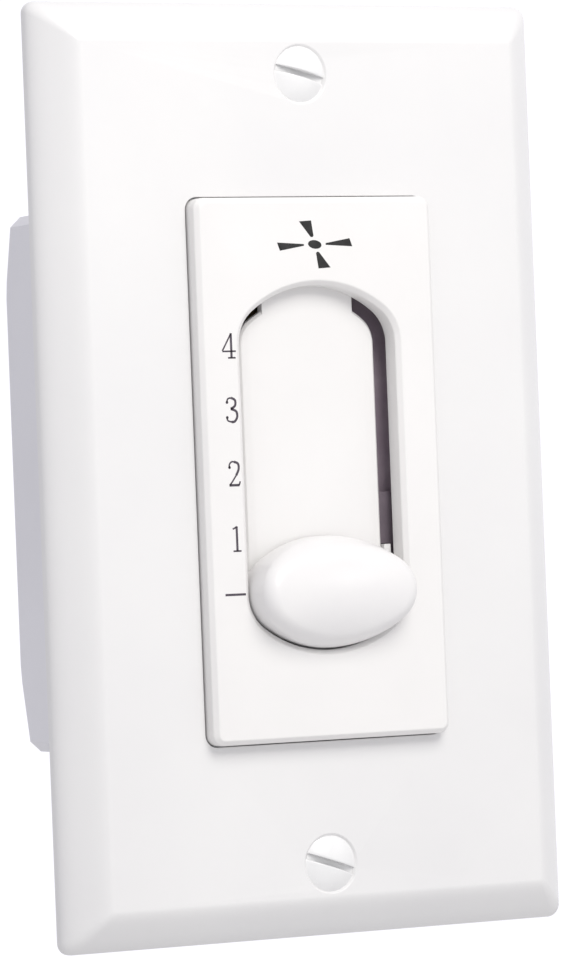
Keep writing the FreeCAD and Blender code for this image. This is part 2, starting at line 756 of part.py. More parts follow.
def insert_cap():
    body = new_body("Cap")
    outer = new_sketch(body, "CapOuter", "strap_thickness")
    rounded_rectangle(outer, "insert_width", INSERT_TALL, "insert_corner")
    pad(body, "CapPad", outer, "insert_front - strap_thickness")
    front = lambda e: across_level(e, value("insert_front"))
    round_edges(body, "CapEdge", "insert_edge", front, **BEVEL)
    cavity = new_sketch(body, "CapCavity", "strap_thickness")
    rectangle(cavity, f"2 * {CAVITY_HALF_WIDE}", f"2 * {CAVITY_HALF_TALL}")
    depth = f"{SKIN_BACK} - strap_thickness"
    pocket(body, "CapCavityCut", cavity, depth, backward=True)
    skirt = new_sketch(body, "RecessSkirt", SKIN_BACK)
    run_outline(skirt, "(knob_gap + skirt_wall)")
    pad(body, "RecessSkirtPad", skirt, f"{SKIN_BACK} - {SKIRT_BACK}", backward=True)
    recess = new_sketch(body, "Recess", "insert_front")
    run_outline(recess, "knob_gap")
    pocket(body, "RecessCut", recess, f"insert_front - {SKIRT_BACK}")
    rim = lambda e: front(e) and in_recess(e)
    round_edges(body, "RecessRim", "recess_rim", rim, **BEVEL)
    rails = new_sketch(body, "Rails", SKIN_BACK)
    for side in (-1, 1):
        rail_outline(rails, side)
    pad(body, "RailPad", rails, f"{SKIN_BACK} - {SHEET_FRONT}", backward=True)
    return body


def in_recess(edge):
    """Does the edge stay within the recess's own outline, clear of the cap's rim?"""
    box = edge.BoundBox
    high = value(f"{HIGH_END} + {RECESS_HALF_TALL}") + NEAR
    low = value(f"{LOW_END} - {RECESS_HALF_TALL}") - NEAR
    return box.ZMax < high and box.ZMin > low


def insert_pegs():
    """Four square pegs through the strap, their ends melted over behind it."""
    pegs = []
    for i, (x, z) in enumerate(FOUR_SIDES):
        at = (f"{x}{PEG_X}", f"{z}{PEG_Z}")
        inside = "(insert_skin / 2 - insert_front)"
        pegs.append(square_pin(f"Peg{i}", "peg_width", (inside, "peg_head_tall"), *at))
        pegs.append(square_pin(f"PegHead{i}", "peg_head_width", ("0", "peg_head_tall"), *at))
    return pegs


def face_insert():
    return node(join("Insert", insert_cap(), recess_floor(), *insert_pegs()), "face_insert")


# Knob: an oval plug with a crowned front and two legs that reach through the side slots
# and clip behind the carriage
def slide_knob():
    body = new_body("Knob")
    plan = new_sketch(body, "KnobPlan", KNOB_BACK)
    oval_outline(plan)
    pad(body, "KnobPad", plan, f"knob_front - {KNOB_BACK}")
    crown = new_sketch(body, "KnobCrown", role="YZ_Plane")
    axis, half = "(knob_crown - knob_front)", RECESS_HALF_TALL
    edge = f"{axis} - sqrt(knob_crown ^ 2 - {half} ^ 2)"
    clear = "0 - 2 * knob_front"
    corners = [(clear, f"0 - {half}"), (edge, f"0 - {half}"), (edge, half), (clear, half)]
    outline(crown, corners, {1: ("x", axis)})
    across(pocket(body, "KnobCrownCut", crown, f"2 * {KNOB_WIDTH}"))
    in_front = lambda e: e.BoundBox.YMax < 0 - value(f"{KNOB_BACK} + knob_rim")
    rim = lambda e: in_front(e) and not along(e, FORWARD) and e.Length > value("2 * knob_rim")
    round_edges(body, "KnobRim", "knob_rim", rim, **BEVEL)
    necks = new_sketch(body, "KnobNecks", KNOB_BACK)
    oval_outline(necks)
    pad(body, "KnobNeckPad", necks, f"{KNOB_BACK} - {LEG_FRONT}", backward=True)
    between = new_sketch(body, "KnobUnderside", KNOB_BACK)
    rectangle(between, f"2 * {LEG_INNER}", "2 * knob_tall")
    pocket(body, "KnobUndersideCut", between, f"{KNOB_BACK} - {LEG_FRONT}")
    legs = new_sketch(body, "KnobLegs", role="XY_Plane")
    for side in (-1, 1):
        leg_outline(legs, side)
    pad_across(body, "KnobLegPad", legs, "leg_length")
    return node(place(body, z=LOW_END), "slide_knob")


def leg_outline(sketch, side):
    """A straight strip behind the skirt, with a hook at its end."""
    corners = [
        (LEG_INNER, LEG_FRONT),
        (LEG_OUTER, LEG_FRONT),
        (LEG_OUTER, LEG_BACK),
        (f"{LEG_INNER} - leg_lip / 2", LEG_BACK),
        (f"{LEG_INNER} - leg_lip", f"{LEG_BACK} + leg_lip_tall"),
        (f"{LEG_INNER} - leg_lip", HOOK_TOP),
        (LEG_INNER, HOOK_TOP),
    ]
    outline(sketch, [(f"{side} * ({x})", f"0 - ({y})") for x, y in corners])


# Slide carriage: a dark moulded plate behind the floor, with a block that reaches through
# the strap's window and carries the wiper
def slide_carriage():
    body = new_body("CarriagePlate")
    plan = new_sketch(body, "CarriagePlan", CARRIAGE_BACK)
    rectangle(plan, CARRIAGE_WIDTH, CARRIAGE_TALL)
    pad(body, "CarriagePad", plan, "carriage_thickness")
    round_edges(body, "CarriageCorners", "carriage_corner", lambda e: along(e, FORWARD), **BEVEL)
    stem = new_sketch(body, "CarriageStem", CARRIAGE_BACK)
    rectangle(stem, "block_width", "block_tall")
    pad(body, "CarriageStemPad", stem, f"block_back + {CARRIAGE_BACK}", backward=True)
    pockets = new_sketch(body, "LeafPockets", CARRIAGE_FRONT)
    for side in (-1, 1):
        middle = f"{side} * ({CARRIAGE_WIDTH} - leaf_pocket) / 2"
        rectangle(pockets, "leaf_pocket", "leaf_length + 4 * leaf_seat_gap", middle)
    pocket(body, "LeafPocketCut", pockets, "carriage_thickness")
    slots = new_sketch(body, "LegSlots", CARRIAGE_FRONT)
    seats = new_sketch(body, "HookSeats", HOOK_TOP)
    tall = "leg_length + 2 * snap_gap"
    for side in (-1, 1):
        near, far = f"({LEG_INNER} - snap_gap)", f"({LEG_OUTER} + snap_gap)"
        rectangle(slots, f"{far} - {near}", tall, f"{side} * ({near} + {far}) / 2")
        near = f"({LEG_INNER} - leg_lip - snap_gap)"
        rectangle(seats, f"{far} - {near}", tall, f"{side} * ({near} + {far}) / 2")
    pocket(body, "LegSlotCut", slots, "carriage_thickness")
    pocket(body, "HookSeatCut", seats, f"{HOOK_TOP} - {CARRIAGE_BACK}")
    place(body, z=LOW_END)
    depth = ("block_back - rivet_length + wiper_thickness - pin_gap", "2 * block_back")
    return node(cut("Carriage", body, wiper_rivet_holes("Carriage", depth)), "slide_carriage")


WIPER_RIVETS = [(f"{side} * rivet_spacing / 2", f"{LOW_END} + rivet_rise") for side in (-1, 1)]


def wiper_rivet_holes(name, y):
    width = "rivet_shank + 2 * pin_gap"
    holes = [pin(f"{name}Hole{i}", width, y, x, z) for i, (x, z) in enumerate(WIPER_RIVETS)]
    return group(name + "Holes", holes)


# Detent springs: a bent steel leaf in each side of the carriage, its nose in a rail notch
def detent_springs():
    leaves = []
    for side, name in ((-1, "Left"), (1, "Right")):
        body = new_body(name + "Leaf")
        middle = f"({CARRIAGE_BACK} + (carriage_thickness - leaf_width) / 2)"
        bent = new_sketch(body, name + "LeafBend", middle)
        nose = f"({RAIL_FACE} + notch_depth - nose_gap)"
        seat = f"({CARRIAGE_WIDTH} / 2 - leaf_pocket + leaf_seat_gap + leaf_thickness)"
        shoulder = f"({seat} + leaf_rise)"
        half, rise = "(leaf_length / 2)", f"({nose} - {shoulder})"
        inner_nose = f"({nose} - leaf_thickness * sqrt(2))"
        inner_shoulder = f"({shoulder} - leaf_thickness)"
        inner_rise = f"({inner_nose} - {inner_shoulder})"
        right = [
            (seat, f"0 - {half}"),
            (shoulder, f"0 - {rise}"),
            (nose, "0"),
            (shoulder, rise),
            (seat, half),
            (f"{seat} - leaf_thickness", half),
            (inner_shoulder, inner_rise),
            (inner_nose, "0"),
            (inner_shoulder, f"0 - {inner_rise}"),
            (f"{seat} - leaf_thickness", f"0 - {half}"),
        ]
        outline(bent, [(f"{side} * ({x})", z) for x, z in right])
        pad(body, name + "LeafPad", bent, "leaf_width")
        leaves.append(place(body, z=LOW_END))
    return node(group("Leaves", leaves), "detent_springs")


# Insulating sheet: thin fibre between the carriage and the strap
def insulating_sheet():
    body = new_body("Sheet")
    plan = new_sketch(body, "SheetPlan", "strap_thickness")
    wide = f"2 * {CAVITY_HALF_WIDE} - 2 * sheet_gap"
    rectangle(plan, wide, f"2 * {CAVITY_HALF_TALL} - 2 * sheet_gap")
    pad(body, "SheetPad", plan, "sheet_thickness")
    window = new_sketch(body, "SheetWindow", SHEET_FRONT)
    window_outline(window)
    side = "peg_width + 4 * peg_gap"
    for x, z in FOUR_SIDES:
        rectangle(window, side, side, f"{x}{PEG_X}", f"{z}{PEG_Z}")
    pocket(body, "SheetWindowCut", window, "sheet_thickness")
    return node(body, "insulating_sheet")


# Wiper: one bronze strip slit into three fingers, each bent to ride on the contacts
def contact_wiper():
    body = new_body("WiperStrip")
    bend = new_sketch(body, "WiperBend", role="YZ_Plane")
    front, back = "block_back", WIPER_BACK
    touch = f"({CONTACT_FRONT} - contact_gap)"
    lifted = f"({touch} - wiper_tail_lift)"
    tail = "(0 - wiper_reach - wiper_tail)"
    corners = [
        (front, "wiper_top"),
        (front, "wiper_fold"),
        (f"{touch} - wiper_thickness", "0 - wiper_reach"),
        (f"{lifted} - wiper_thickness", tail),
        (lifted, tail),
        (touch, "0 - wiper_reach"),
        (back, "wiper_fold"),
        (back, "wiper_top"),
    ]
    outline(bend, corners)
    pad_across(body, "WiperPad", bend, WIPER_WIDTH)
    slits = new_sketch(body, "WiperSlits", "0 - block_back + 2 * wiper_thickness")
    gap = f"(({WIPER_WIDTH} - 3 * finger_width) / 2)"
    length = "(wiper_reach + wiper_tail + wiper_fold)"
    for side in (-1, 1):
        middle = f"{side} * (finger_width + {gap}) / 2"
        rectangle(slits, gap, length, middle, f"wiper_fold - {length} / 2")
    depth = f"{CONTACT_FRONT} - block_back + 2 * wiper_thickness"
    pocket(body, "WiperSlitCut", slits, depth)
    place(body, z=LOW_END)
    through = ("block_back - wiper_thickness", "block_back + 2 * wiper_thickness")
    return node(cut("Wiper", body, wiper_rivet_holes("Wiper", through)), "contact_wiper")


def wiper_rivets():
    rivets = []
    head = (WIPER_BACK, f"{WIPER_BACK} + rivet_head_tall")
    shank = (f"{WIPER_BACK} - rivet_length", WIPER_BACK)
    for i, at in enumerate(WIPER_RIVETS):
        pieces = [pin(f"WiperRivetHead{i}", "rivet_head", head, *at)]
        pieces.append(pin(f"WiperRivetShank{i}", "rivet_shank", shank, *at))
        rivets.append(join(f"WiperRivet{i}", *pieces))
    return node(group("WiperRivets", rivets), "wiper_rivets")


# The board's places: contact stops up each side, capacitor pins, resistor pins and eyelets
def contact_height(stop):
    return f"({LOW_END} + {stop} * {DETENT_PITCH} - wiper_reach)"


CONTACT_STOPS = [(-1, 1), (-1, 3), (-1, 4), (1, 2), (1, 3), (1, 4)]
CONTACTS = [(f"{side} * contact_spread / 2", contact_height(stop)) for side, stop in CONTACT_STOPS]
RAIL_LOW = f"({contact_height(0)} - rail_overrun)"
RAIL_HIGH = f"({contact_height(4)} + rail_overrun)"
RAIL_PINS = [f"({RAIL_LOW} + rail_overrun / 2)", f"({RAIL_HIGH} - rail_overrun / 2)"]
RESISTOR_ROWS = [f"(0 - {RESISTOR_DROP})", f"(0 - {RESISTOR_DROP} - resistor_step)"]
CAP_LOW = f"({RESISTOR_ROWS[0]} + resistor_width / 2 + cap_above)"
CAP_HIGH = f"({BOARD_SCREW} - board_post_width / 2 - cap_below)"
CAP_LENGTH, CAP_MIDDLE = f"({CAP_HIGH} - {CAP_LOW})", f"(({CAP_HIGH} + {CAP_LOW}) / 2)"
LARGE_CAP_WIDTH = f"(({HOUSING_WIDTH} - cap_gap) / 2 - housing_wall - cap_side)"
SMALL_CAP_WIDTH = f"({LARGE_CAP_WIDTH} - cap_narrower)"
LARGE_CAP_X = f"(0 - (cap_gap + {LARGE_CAP_WIDTH}) / 2)"
SMALL_CAP_X = f"((cap_gap + {SMALL_CAP_WIDTH}) / 2)"
LARGE_CAP_TALL = f"(housing_depth - housing_wall - {CAP_FRONT} - cap_room)"
SMALL_CAP_TALL = f"({LARGE_CAP_TALL} - cap_step)"
CAP_PINS = [
    (x, z)
    for x in (LARGE_CAP_X, SMALL_CAP_X)
    for z in (f"({CAP_LOW} + cap_pin_inset)", f"({CAP_HIGH} - cap_pin_inset)")
]
RESISTOR_PINS = [(f"{side} * resistor_pitch / 2", z) for z in RESISTOR_ROWS for side in (-1, 1)]
EYELETS = [(f"{side} * {EYELET_X}", f"0 - {EYELET_DROP}") for side in (-1, 1)]
BOARD_SCREWS = [("0", f"{side} * {BOARD_SCREW}") for side in (-1, 1)]
HOUSING_SCREWS = [(f"{x}{POST_X}", f"{z}{POST_Z}") for x, z in FOUR_SIDES]


def circuit_board():
    body = new_body("BoardPlate")
    plan = new_sketch(body, "BoardPlan", f"0 - {BOARD_BACK}")
    half_x, half_z = f"({BOARD_WIDTH} / 2)", f"({BOARD_TALL} / 2)"
    step_x, step_z = f"({half_x} - board_notch)", f"({half_z} - board_notch)"
    quarter = [(half_x, step_z), (step_x, step_z), (step_x, half_z)]
    left_top = [(f"0 - {x}", z) for x, z in reversed(quarter)]
    left_low = [(f"0 - {x}", f"0 - {z}") for x, z in quarter]
    right_low = [(x, f"0 - {z}") for x, z in reversed(quarter)]
    outline(plan, quarter + left_top + left_low + right_low)
    pad(body, "BoardPad", plan, "board_thickness")
    squares = new_sketch(body, "BoardSquareHoles", f"0 - {BOARD_FRONT}")
    tails = [("contact_shank", CONTACTS), ("rail_pin", [("0", z) for z in RAIL_PINS])]
    for width, places in tails + [("lead_width", CAP_PINS + RESISTOR_PINS)]:
        side = f"{width} + 2 * pin_gap"
        for x, z in places:
            rectangle(squares, side, side, x, z)
    pocket(body, "BoardSquareHoleCut", squares, "board_thickness")
    through = (f"{BOARD_FRONT} - board_thickness", f"{BOARD_BACK} + board_thickness")
    holes = []
    for width, places in (("eyelet_width", EYELETS), ("pan_shank", BOARD_SCREWS)):
        for x, z in places:
            holes.append(pin(f"BoardHole{len(holes)}", f"{width} + 2 * pin_gap", through, x, z))
    return node(cut("Board", body, group("BoardHoles", holes)), "circuit_board")


def contact_rail():
    wide = ("0 - rail_width / 2", "rail_width / 2")
    strip = block("RailStrip", wide, (CONTACT_FRONT, BOARD_FRONT), (RAIL_LOW, RAIL_HIGH))
    y = (CONTACT_FRONT, f"{BOARD_BACK} + contact_tail_tall")
    pins = [square_pin(f"RailPin{i}", "rail_pin", y, "0", z) for i, z in enumerate(RAIL_PINS)]
    return node(join("Rail", strip, *pins), "contact_rail")


def speed_contacts():
    """Stamped brass pads, each with a tail through the board that is clenched behind it."""
    contacts = []
    head, end = (CONTACT_FRONT, BOARD_FRONT), f"{BOARD_BACK} + contact_tail_tall"
    for i, at in enumerate(CONTACTS):
        pad_piece = square_pin(f"ContactPad{i}", "contact_width", head, *at)
        shank = square_pin(f"ContactShank{i}", "contact_shank", (CONTACT_FRONT, end), *at)
        tail = square_pin(f"ContactTail{i}", "contact_tail_width", (BOARD_BACK, end), *at)
        contacts.append(join(f"Contact{i}", pad_piece, shank, tail))
    return node(group("Contacts", contacts), "speed_contacts")


# Film capacitors: moulded boxes on corner feet, lying behind the board
def capacitor(name, width, tall, x, label):
    body = new_body(name)
    plan = new_sketch(body, name + "Plan", f"0 - {CAP_FRONT}")
    rectangle(plan, width, CAP_LENGTH)
    pad(body, name + "Pad", plan, tall, backward=True)
    front = value(CAP_FRONT)
    edges = lambda e: e.BoundBox.YMax > front + NEAR
    round_edges(body, name + "Edge", "cap_edge", edges, **BEVEL)
    feet = new_sketch(body, name + "Feet", f"0 - {CAP_FRONT}")
    side = f"(({width}) / 2 - cap_edge - cap_foot / 2)"
    end = f"({CAP_LENGTH} / 2 - cap_edge - cap_foot / 2)"
    for sign_x, sign_z in FOUR_SIDES:
        rectangle(feet, "cap_foot", "cap_foot", f"{sign_x}{side}", f"{sign_z}{end}")
    pad(body, name + "FeetPad", feet, "cap_standoff")
    return node(place(body, x, "0", CAP_MIDDLE), label)


def capacitor_leads():
    y = (LEAD_END, CAP_FRONT)
    pins = [square_pin(f"CapLead{i}", "lead_width", y, x, z) for i, (x, z) in enumerate(CAP_PINS)]
    return node(group("CapLeads", pins), "capacitor_leads")


# Bleed resistors: round bodies along X, with leads bent down through the board
RESISTOR_AXIS = f"({BOARD_BACK} + contact_tail_tall + resistor_lift + resistor_width / 2)"


def bleed_resistors():
    bodies = []
    for i, z in enumerate(RESISTOR_ROWS):
        item = doc.addObject("Part::Cylinder", f"Resistor{i}")
        item.Placement.Rotation = FreeCAD.Rotation(FreeCAD.Vector(0, 1, 0), 90)
        bind(item, "Radius", "resistor_width / 2")
        bind(item, "Height", "resistor_length")
        bodies.append(place(item, "0 - resistor_length / 2", RESISTOR_AXIS, z))
    return node(group("Resistors", bodies), "bleed_resistors")


def resistor_leads():
    leads = []
    for i, z in enumerate(RESISTOR_ROWS):
        body = new_body(f"ResistorLeads{i}")
        bent = new_sketch(body, f"ResistorLeadBend{i}", role="XY_Plane")
        for side in (-1, 1):
            lead_outline(bent, side)
        wires = pad_across(body, f"ResistorLeadPad{i}", bent, "lead_width")
        wires.AllowMultiFace = True
        leads.append(place(body, z=z))
    return node(group("ResistorLeads", leads), "resistor_leads")


def lead_outline(sketch, side):
    """A wire from a resistor's end, turned down through the board in two half bends."""
    half, down = "(lead_width / 2)", "(resistor_pitch / 2)"
    bend_x, bend_y = f"({down} - lead_bend)", f"({RESISTOR_AXIS} - lead_bend)"
    end = "(resistor_length / 2)"
    corners = [
        (end, f"{RESISTOR_AXIS} + {half}"),
        (bend_x, f"{RESISTOR_AXIS} + {half}"),
        (f"{down} + {half}", bend_y),
        (f"{down} + {half}", LEAD_END),
        (f"{down} - {half}", LEAD_END),
        (f"{down} - {half}", bend_y),
        (bend_x, f"{RESISTOR_AXIS} - {half}"),
        (end, f"{RESISTOR_AXIS} - {half}"),
    ]
    outline(sketch, [(f"{side} * ({x})", y) for x, y in corners])


def lead_eyelets():
    eyelets = []
    front, back = f"{BOARD_FRONT} - eyelet_flange_tall", f"{BOARD_BACK} + eyelet_flange_tall"
    for i, at in enumerate(EYELETS):
        tube = pin(f"EyeletTube{i}", "eyelet_width", (front, back), *at)
        near = pin(f"EyeletFront{i}", "eyelet_flange", (front, BOARD_FRONT), *at)
        far = pin(f"EyeletBack{i}", "eyelet_flange", (BOARD_BACK, back), *at)
        bore = pin(f"EyeletBore{i}", "eyelet_bore", ("0", "2 * " + BOARD_BACK), *at)
        eyelets.append(cut(f"Eyelet{i}", join(f"EyeletForm{i}", tube, near, far), bore))
    return node(group("Eyelets", eyelets), "lead_eyelets")


# Rear housing: a deep open box whose back slants away towards both ends
def housing_profile(sketch, wall):
    mouth = f"({HOUSING_TALL} / 2 - {wall})"
    foot = f"({HOUSING_TALL} / 2 - housing_draft - {wall})"
    flat = f"({HOUSING_TALL} / 2 - slant_length)"
    back, slant = f"(housing_depth - {wall})", f"(housing_depth - slant_depth - {wall})"
    corners = [
        ("0", f"0 - housing_drop - {mouth}"),
        (slant, f"0 - housing_drop - {foot}"),
        (back, f"0 - {flat}"),
        (back, flat),
        (slant, f"{foot} - housing_drop"),
        ("0", f"{mouth} - housing_drop"),
    ]
    outline(sketch, corners)


def rear_housing():
    body = new_body("HousingBox")
    outer = new_sketch(body, "HousingOuter", role="YZ_Plane")
    housing_profile(outer, "0")
    pad_across(body, "HousingPad", outer, HOUSING_WIDTH)
    behind = lambda e: e.BoundBox.YMax > NEAR
    round_edges(body, "HousingEdges", "housing_edge", behind, **BEVEL)
    inner = new_sketch(body, "HousingInner", role="YZ_Plane")
    housing_profile(inner, "housing_wall")
    across(pocket(body, "HousingHollow", inner, f"{HOUSING_WIDTH} - 2 * housing_wall"))
    post_y = ("0", "post_depth")
    board_y = (BOARD_BACK, "housing_depth - housing_wall")
    screw_y = ("0 - post_depth", "pan_length - strap_thickness + 2 * thread_gap")
    board_screw_y = ("0 - post_depth", f"{BOARD_FRONT} + board_screw_length + 2 * thread_gap")
    posts, bores = [], []
    sets = [("post_width", post_y, screw_y, HOUSING_SCREWS)]
    sets.append(("board_post_width", board_y, board_screw_y, BOARD_SCREWS))
    for width, post_span, bore_span, places in sets:
        for x, z in places:
            posts.append(pin(f"Post{len(posts)}", width, post_span, x, z))
            bore_width = "pan_shank + 2 * pin_gap"
            bores.append(pin(f"Bore{len(bores)}", bore_width, bore_span, x, z))
    exit_y = ("housing_depth - 2 * housing_wall", "2 * housing_depth")
    for side in (-1, 1):
        x, z = f"{side} * lead_hole_spread / 2", "0 - lead_hole_drop"
        bores.append(rod(f"LeadHole{len(bores)}", "lead_hole", exit_y, x, z))
    whole = join("HousingWithPosts", body, *posts)
    return node(cut("Housing", whole, group("HousingBores", bores)), "rear_housing")


# Pan-head screws with a slot, for the housing's four posts and the board's two
def pan_screw(name, length, x, y, z):
    """A screw driven from the front, its head's underside at y."""
    head = pin(name + "Head", "pan_width", (f"{y} - pan_tall", y), x, z)
    shank = pin(name + "Shank", "pan_shank", (y, f"{y} + {length}"), x, z)
    wide = (f"{x} - pan_width", f"{x} + pan_width")
    tall = (f"{z} - slot_width / 2", f"{z} + slot_width / 2")
    deep = (f"{y} - 2 * pan_tall", f"{y} - pan_tall + slot_depth")
    return cut(name, join(name + "Form", head, shank), block(name + "Slot", wide, deep, tall))


def housing_screws():
    screws = [
        pan_screw(f"HousingScrew{i}", "pan_length", x, "(0 - strap_thickness)", z)
        for i, (x, z) in enumerate(HOUSING_SCREWS)
    ]
    return node(group("HousingScrewSet", screws), "housing_screws")


def board_screws():
    screws = [
        pan_screw(f"BoardScrew{i}", "board_screw_length", x, BOARD_FRONT, z)
        for i, (x, z) in enumerate(BOARD_SCREWS)
    ]
    return node(group("BoardScrewSet", screws), "board_screws")


# Earth rivet: clenched through the strap's lower ear
def earth_rivet():
    at = ("earth_side", f"0 - {EARTH_DROP}")
    front, back = "0 - strap_thickness", "0"
    pieces = [
        pin("EarthHead", "earth_head", (f"{front} - earth_head_tall", front), *at),
        pin("EarthShank", "earth_shank", (front, back), *at),
        pin("EarthClench", "earth_head", (back, "earth_head_tall"), *at),
    ]
    return node(join("EarthRivet", *pieces), "earth_rivet")


def build():
    wall_plate()
    plate_screws()
    mounting_strap()
    face_insert()
    insulating_sheet()
    slide_knob()
    slide_carriage()
    detent_springs()
    contact_wiper()
    wiper_rivets()
    circuit_board()
    contact_rail()
    speed_contacts()
    capacitor("LargeCap", LARGE_CAP_WIDTH, LARGE_CAP_TALL, LARGE_CAP_X, "large_capacitor")
    capacitor("SmallCap", SMALL_CAP_WIDTH, SMALL_CAP_TALL, SMALL_CAP_X, "small_capacitor")
    capacitor_leads()
    bleed_resistors()
    resistor_leads()
    lead_eyelets()
    rear_housing()
    housing_screws()
    board_screws()
    earth_rivet()
    doc.recompute()


def check():
    """Stops with the names of whatever failed, before anything is written."""
    faults = []
    for item in doc.Objects:
        if "Invalid" in item.State or "Error" in item.State:
            faults.append(f"{item.Name}: {item.State}")
    for item in NODES:
        if item.Shape.isNull() or not item.Shape.isValid() or not item.Shape.Solids:
            faults.append(f"{item.Label}: no valid shape")
    if faults:
        raise RuntimeError("; ".join(faults))


def export():
    os.makedirs("parts", exist_ok=True)
    for item in NODES:
        item.Shape.exportStep(f"parts/{item.Label}.step")
        shape = item.Shape
        print(f"{item.Label}: {len(shape.Solids)} solid(s), {shape.Volume:.1f} mm3")


fill_sheet()
build()
check()
export()
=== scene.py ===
# %% [markdown]
# # Fan speed control switch
# A white wall switch whose oval knob slides up a recess from "off" to speed 4.
# The solids come finished from the CAD model. This lesson adds what CAD leaves out: the finish of
# every plastic and metal, softened edges, the printed scale, a camera and a small photo studio.

# %% Load the fixed frame
import json
import math

import bmesh
import bpy
from mathutils import Matrix, Vector


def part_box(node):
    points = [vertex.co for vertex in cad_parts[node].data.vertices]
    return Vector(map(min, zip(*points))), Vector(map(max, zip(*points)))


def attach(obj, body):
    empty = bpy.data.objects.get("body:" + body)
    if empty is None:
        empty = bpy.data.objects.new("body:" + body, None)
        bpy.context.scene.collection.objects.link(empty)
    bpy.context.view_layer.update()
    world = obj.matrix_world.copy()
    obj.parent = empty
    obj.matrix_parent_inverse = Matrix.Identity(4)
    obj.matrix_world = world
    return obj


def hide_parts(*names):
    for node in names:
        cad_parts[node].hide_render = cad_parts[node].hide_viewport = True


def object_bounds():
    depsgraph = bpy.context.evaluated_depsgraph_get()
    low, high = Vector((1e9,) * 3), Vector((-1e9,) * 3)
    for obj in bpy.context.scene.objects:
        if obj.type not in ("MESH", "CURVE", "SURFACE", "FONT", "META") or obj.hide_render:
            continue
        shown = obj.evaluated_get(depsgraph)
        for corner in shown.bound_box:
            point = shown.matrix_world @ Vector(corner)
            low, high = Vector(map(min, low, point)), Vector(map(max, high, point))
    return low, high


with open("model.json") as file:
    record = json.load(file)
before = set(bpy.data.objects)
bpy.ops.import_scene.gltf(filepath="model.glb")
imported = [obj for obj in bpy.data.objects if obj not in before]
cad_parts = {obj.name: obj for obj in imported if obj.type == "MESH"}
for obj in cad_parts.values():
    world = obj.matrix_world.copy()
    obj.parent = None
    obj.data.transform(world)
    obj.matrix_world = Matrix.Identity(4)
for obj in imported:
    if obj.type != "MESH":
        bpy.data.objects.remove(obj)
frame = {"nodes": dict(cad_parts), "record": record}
cad_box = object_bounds()
MM = 0.001

# %% [markdown]
# ## Camera
# The photograph looks at the plate from its left and almost level, through a long lens. The camera
# is set by two angles round the object and a small roll, then slid sideways so that the plate
# fills the picture. Three perpendicular axes make the camera's matrix, with no target or tracking.

# %% Place the camera
PICTURE_TALL = 960
LENS_IN_PIXELS = 5387
SENSOR = 36
STAND_LEFT, STAND_ABOVE, ROLL = (math.radians(a) for a in (-28.476, -0.411, -2.259))
DISTANCE, SHIFT_RIGHT, SHIFT_UP = 665.20 * MM, -1.590 * MM, -1.261 * MM


def photograph_camera():
    level = math.cos(STAND_ABOVE)
    back = Vector((
        math.sin(STAND_LEFT) * level,
        -math.cos(STAND_LEFT) * level,
        math.sin(STAND_ABOVE),
    ))
    right = (-back).cross(Vector((0, 0, 1))).normalized()
    up = right.cross(-back)
    rolled_right = right * math.cos(ROLL) + up * math.sin(ROLL)
    rolled_up = up * math.cos(ROLL) - right * math.sin(ROLL)
    camera = bpy.data.objects.new("Camera", bpy.data.cameras.new("Camera"))
    camera.data.sensor_width = SENSOR
    camera.data.lens = LENS_IN_PIXELS / PICTURE_TALL * SENSOR
    turn = Matrix((rolled_right, rolled_up, back)).transposed().to_4x4()
    place = rolled_right * SHIFT_RIGHT + rolled_up * SHIFT_UP + back * DISTANCE
    camera.matrix_world = Matrix.Translation(place) @ turn
    bpy.context.scene.collection.objects.link(camera)
    bpy.context.scene.camera = camera
    return camera


camera = photograph_camera()
bpy.context.scene.view_settings.view_transform = "Standard"
print("camera at", [round(v / MM, 1) for v in camera.location], "mm, lens", round(camera.data.lens, 1))

# %% [markdown]
# ## Floor
# The switch was photographed on pure white, with nothing under it. A bare sky would light it from
# below as brightly as from the sides, so a plain pale table hangs some way below it and shades its
# undersides. The table ends before it would come into the camera's view.

# %% Lay the floor
FLOOR_DROP = 60 * MM
FLOOR_HALF = 450 * MM
FLOOR_WHITENESS = 0.72


def pale_paint():
    paint = bpy.data.materials.new("floor_paint")
    paint.use_nodes = True
    shader = paint.node_tree.nodes["Principled BSDF"]
    shader.inputs["Base Color"].default_value = (*[FLOOR_WHITENESS] * 3, 1)
    shader.inputs["Roughness"].default_value = 0.9
    return paint


def floor():
    mesh = bpy.data.meshes.new("floor")
    level = cad_box[0].z - FLOOR_DROP
    corners = [(x * FLOOR_HALF, y * FLOOR_HALF, level) for x, y in ((-1, -1), (1, -1), (1, 1), (-1, 1))]
    mesh.from_pydata(corners, [], [(0, 1, 2, 3)])
    mesh.materials.append(pale_paint())
    sheet = bpy.data.objects.new("floor", mesh)
    bpy.context.scene.collection.objects.link(sheet)
    return sheet


print("floor at", round(floor().data.vertices[0].co.z / MM, 1), "mm")

# %% [markdown]
# ## Light
# The plate's front and its top bevel are nearly white, its left bevel is light grey, and the faces
# that look down are greyer still. An even sky lights every side, and it brightens to white behind
# the switch, like a lit paper backdrop. One soft panel hangs close by, in front and above. Being
# close, it lights the top more than the bottom, as in the photograph. The sky is a little violet
# and the panel a little warm, because the photograph's shaded sides are cooler than its front.

# %% Hang the lights
SKY_AROUND, SKY_BEHIND = 0.69, 1.11
BEHIND = (0.477, 0.879, 0.0)
BEHIND_NARROW, BEHIND_WIDE = 0.86, 0.55
KEY_PLACE, KEY_SIZE, KEY_WATTS = (0.0, -0.42, 0.35), 0.30, 2.0
SKY_TINT, KEY_TINT = (0.955, 0.95, 1.0), (1.0, 0.985, 0.945)


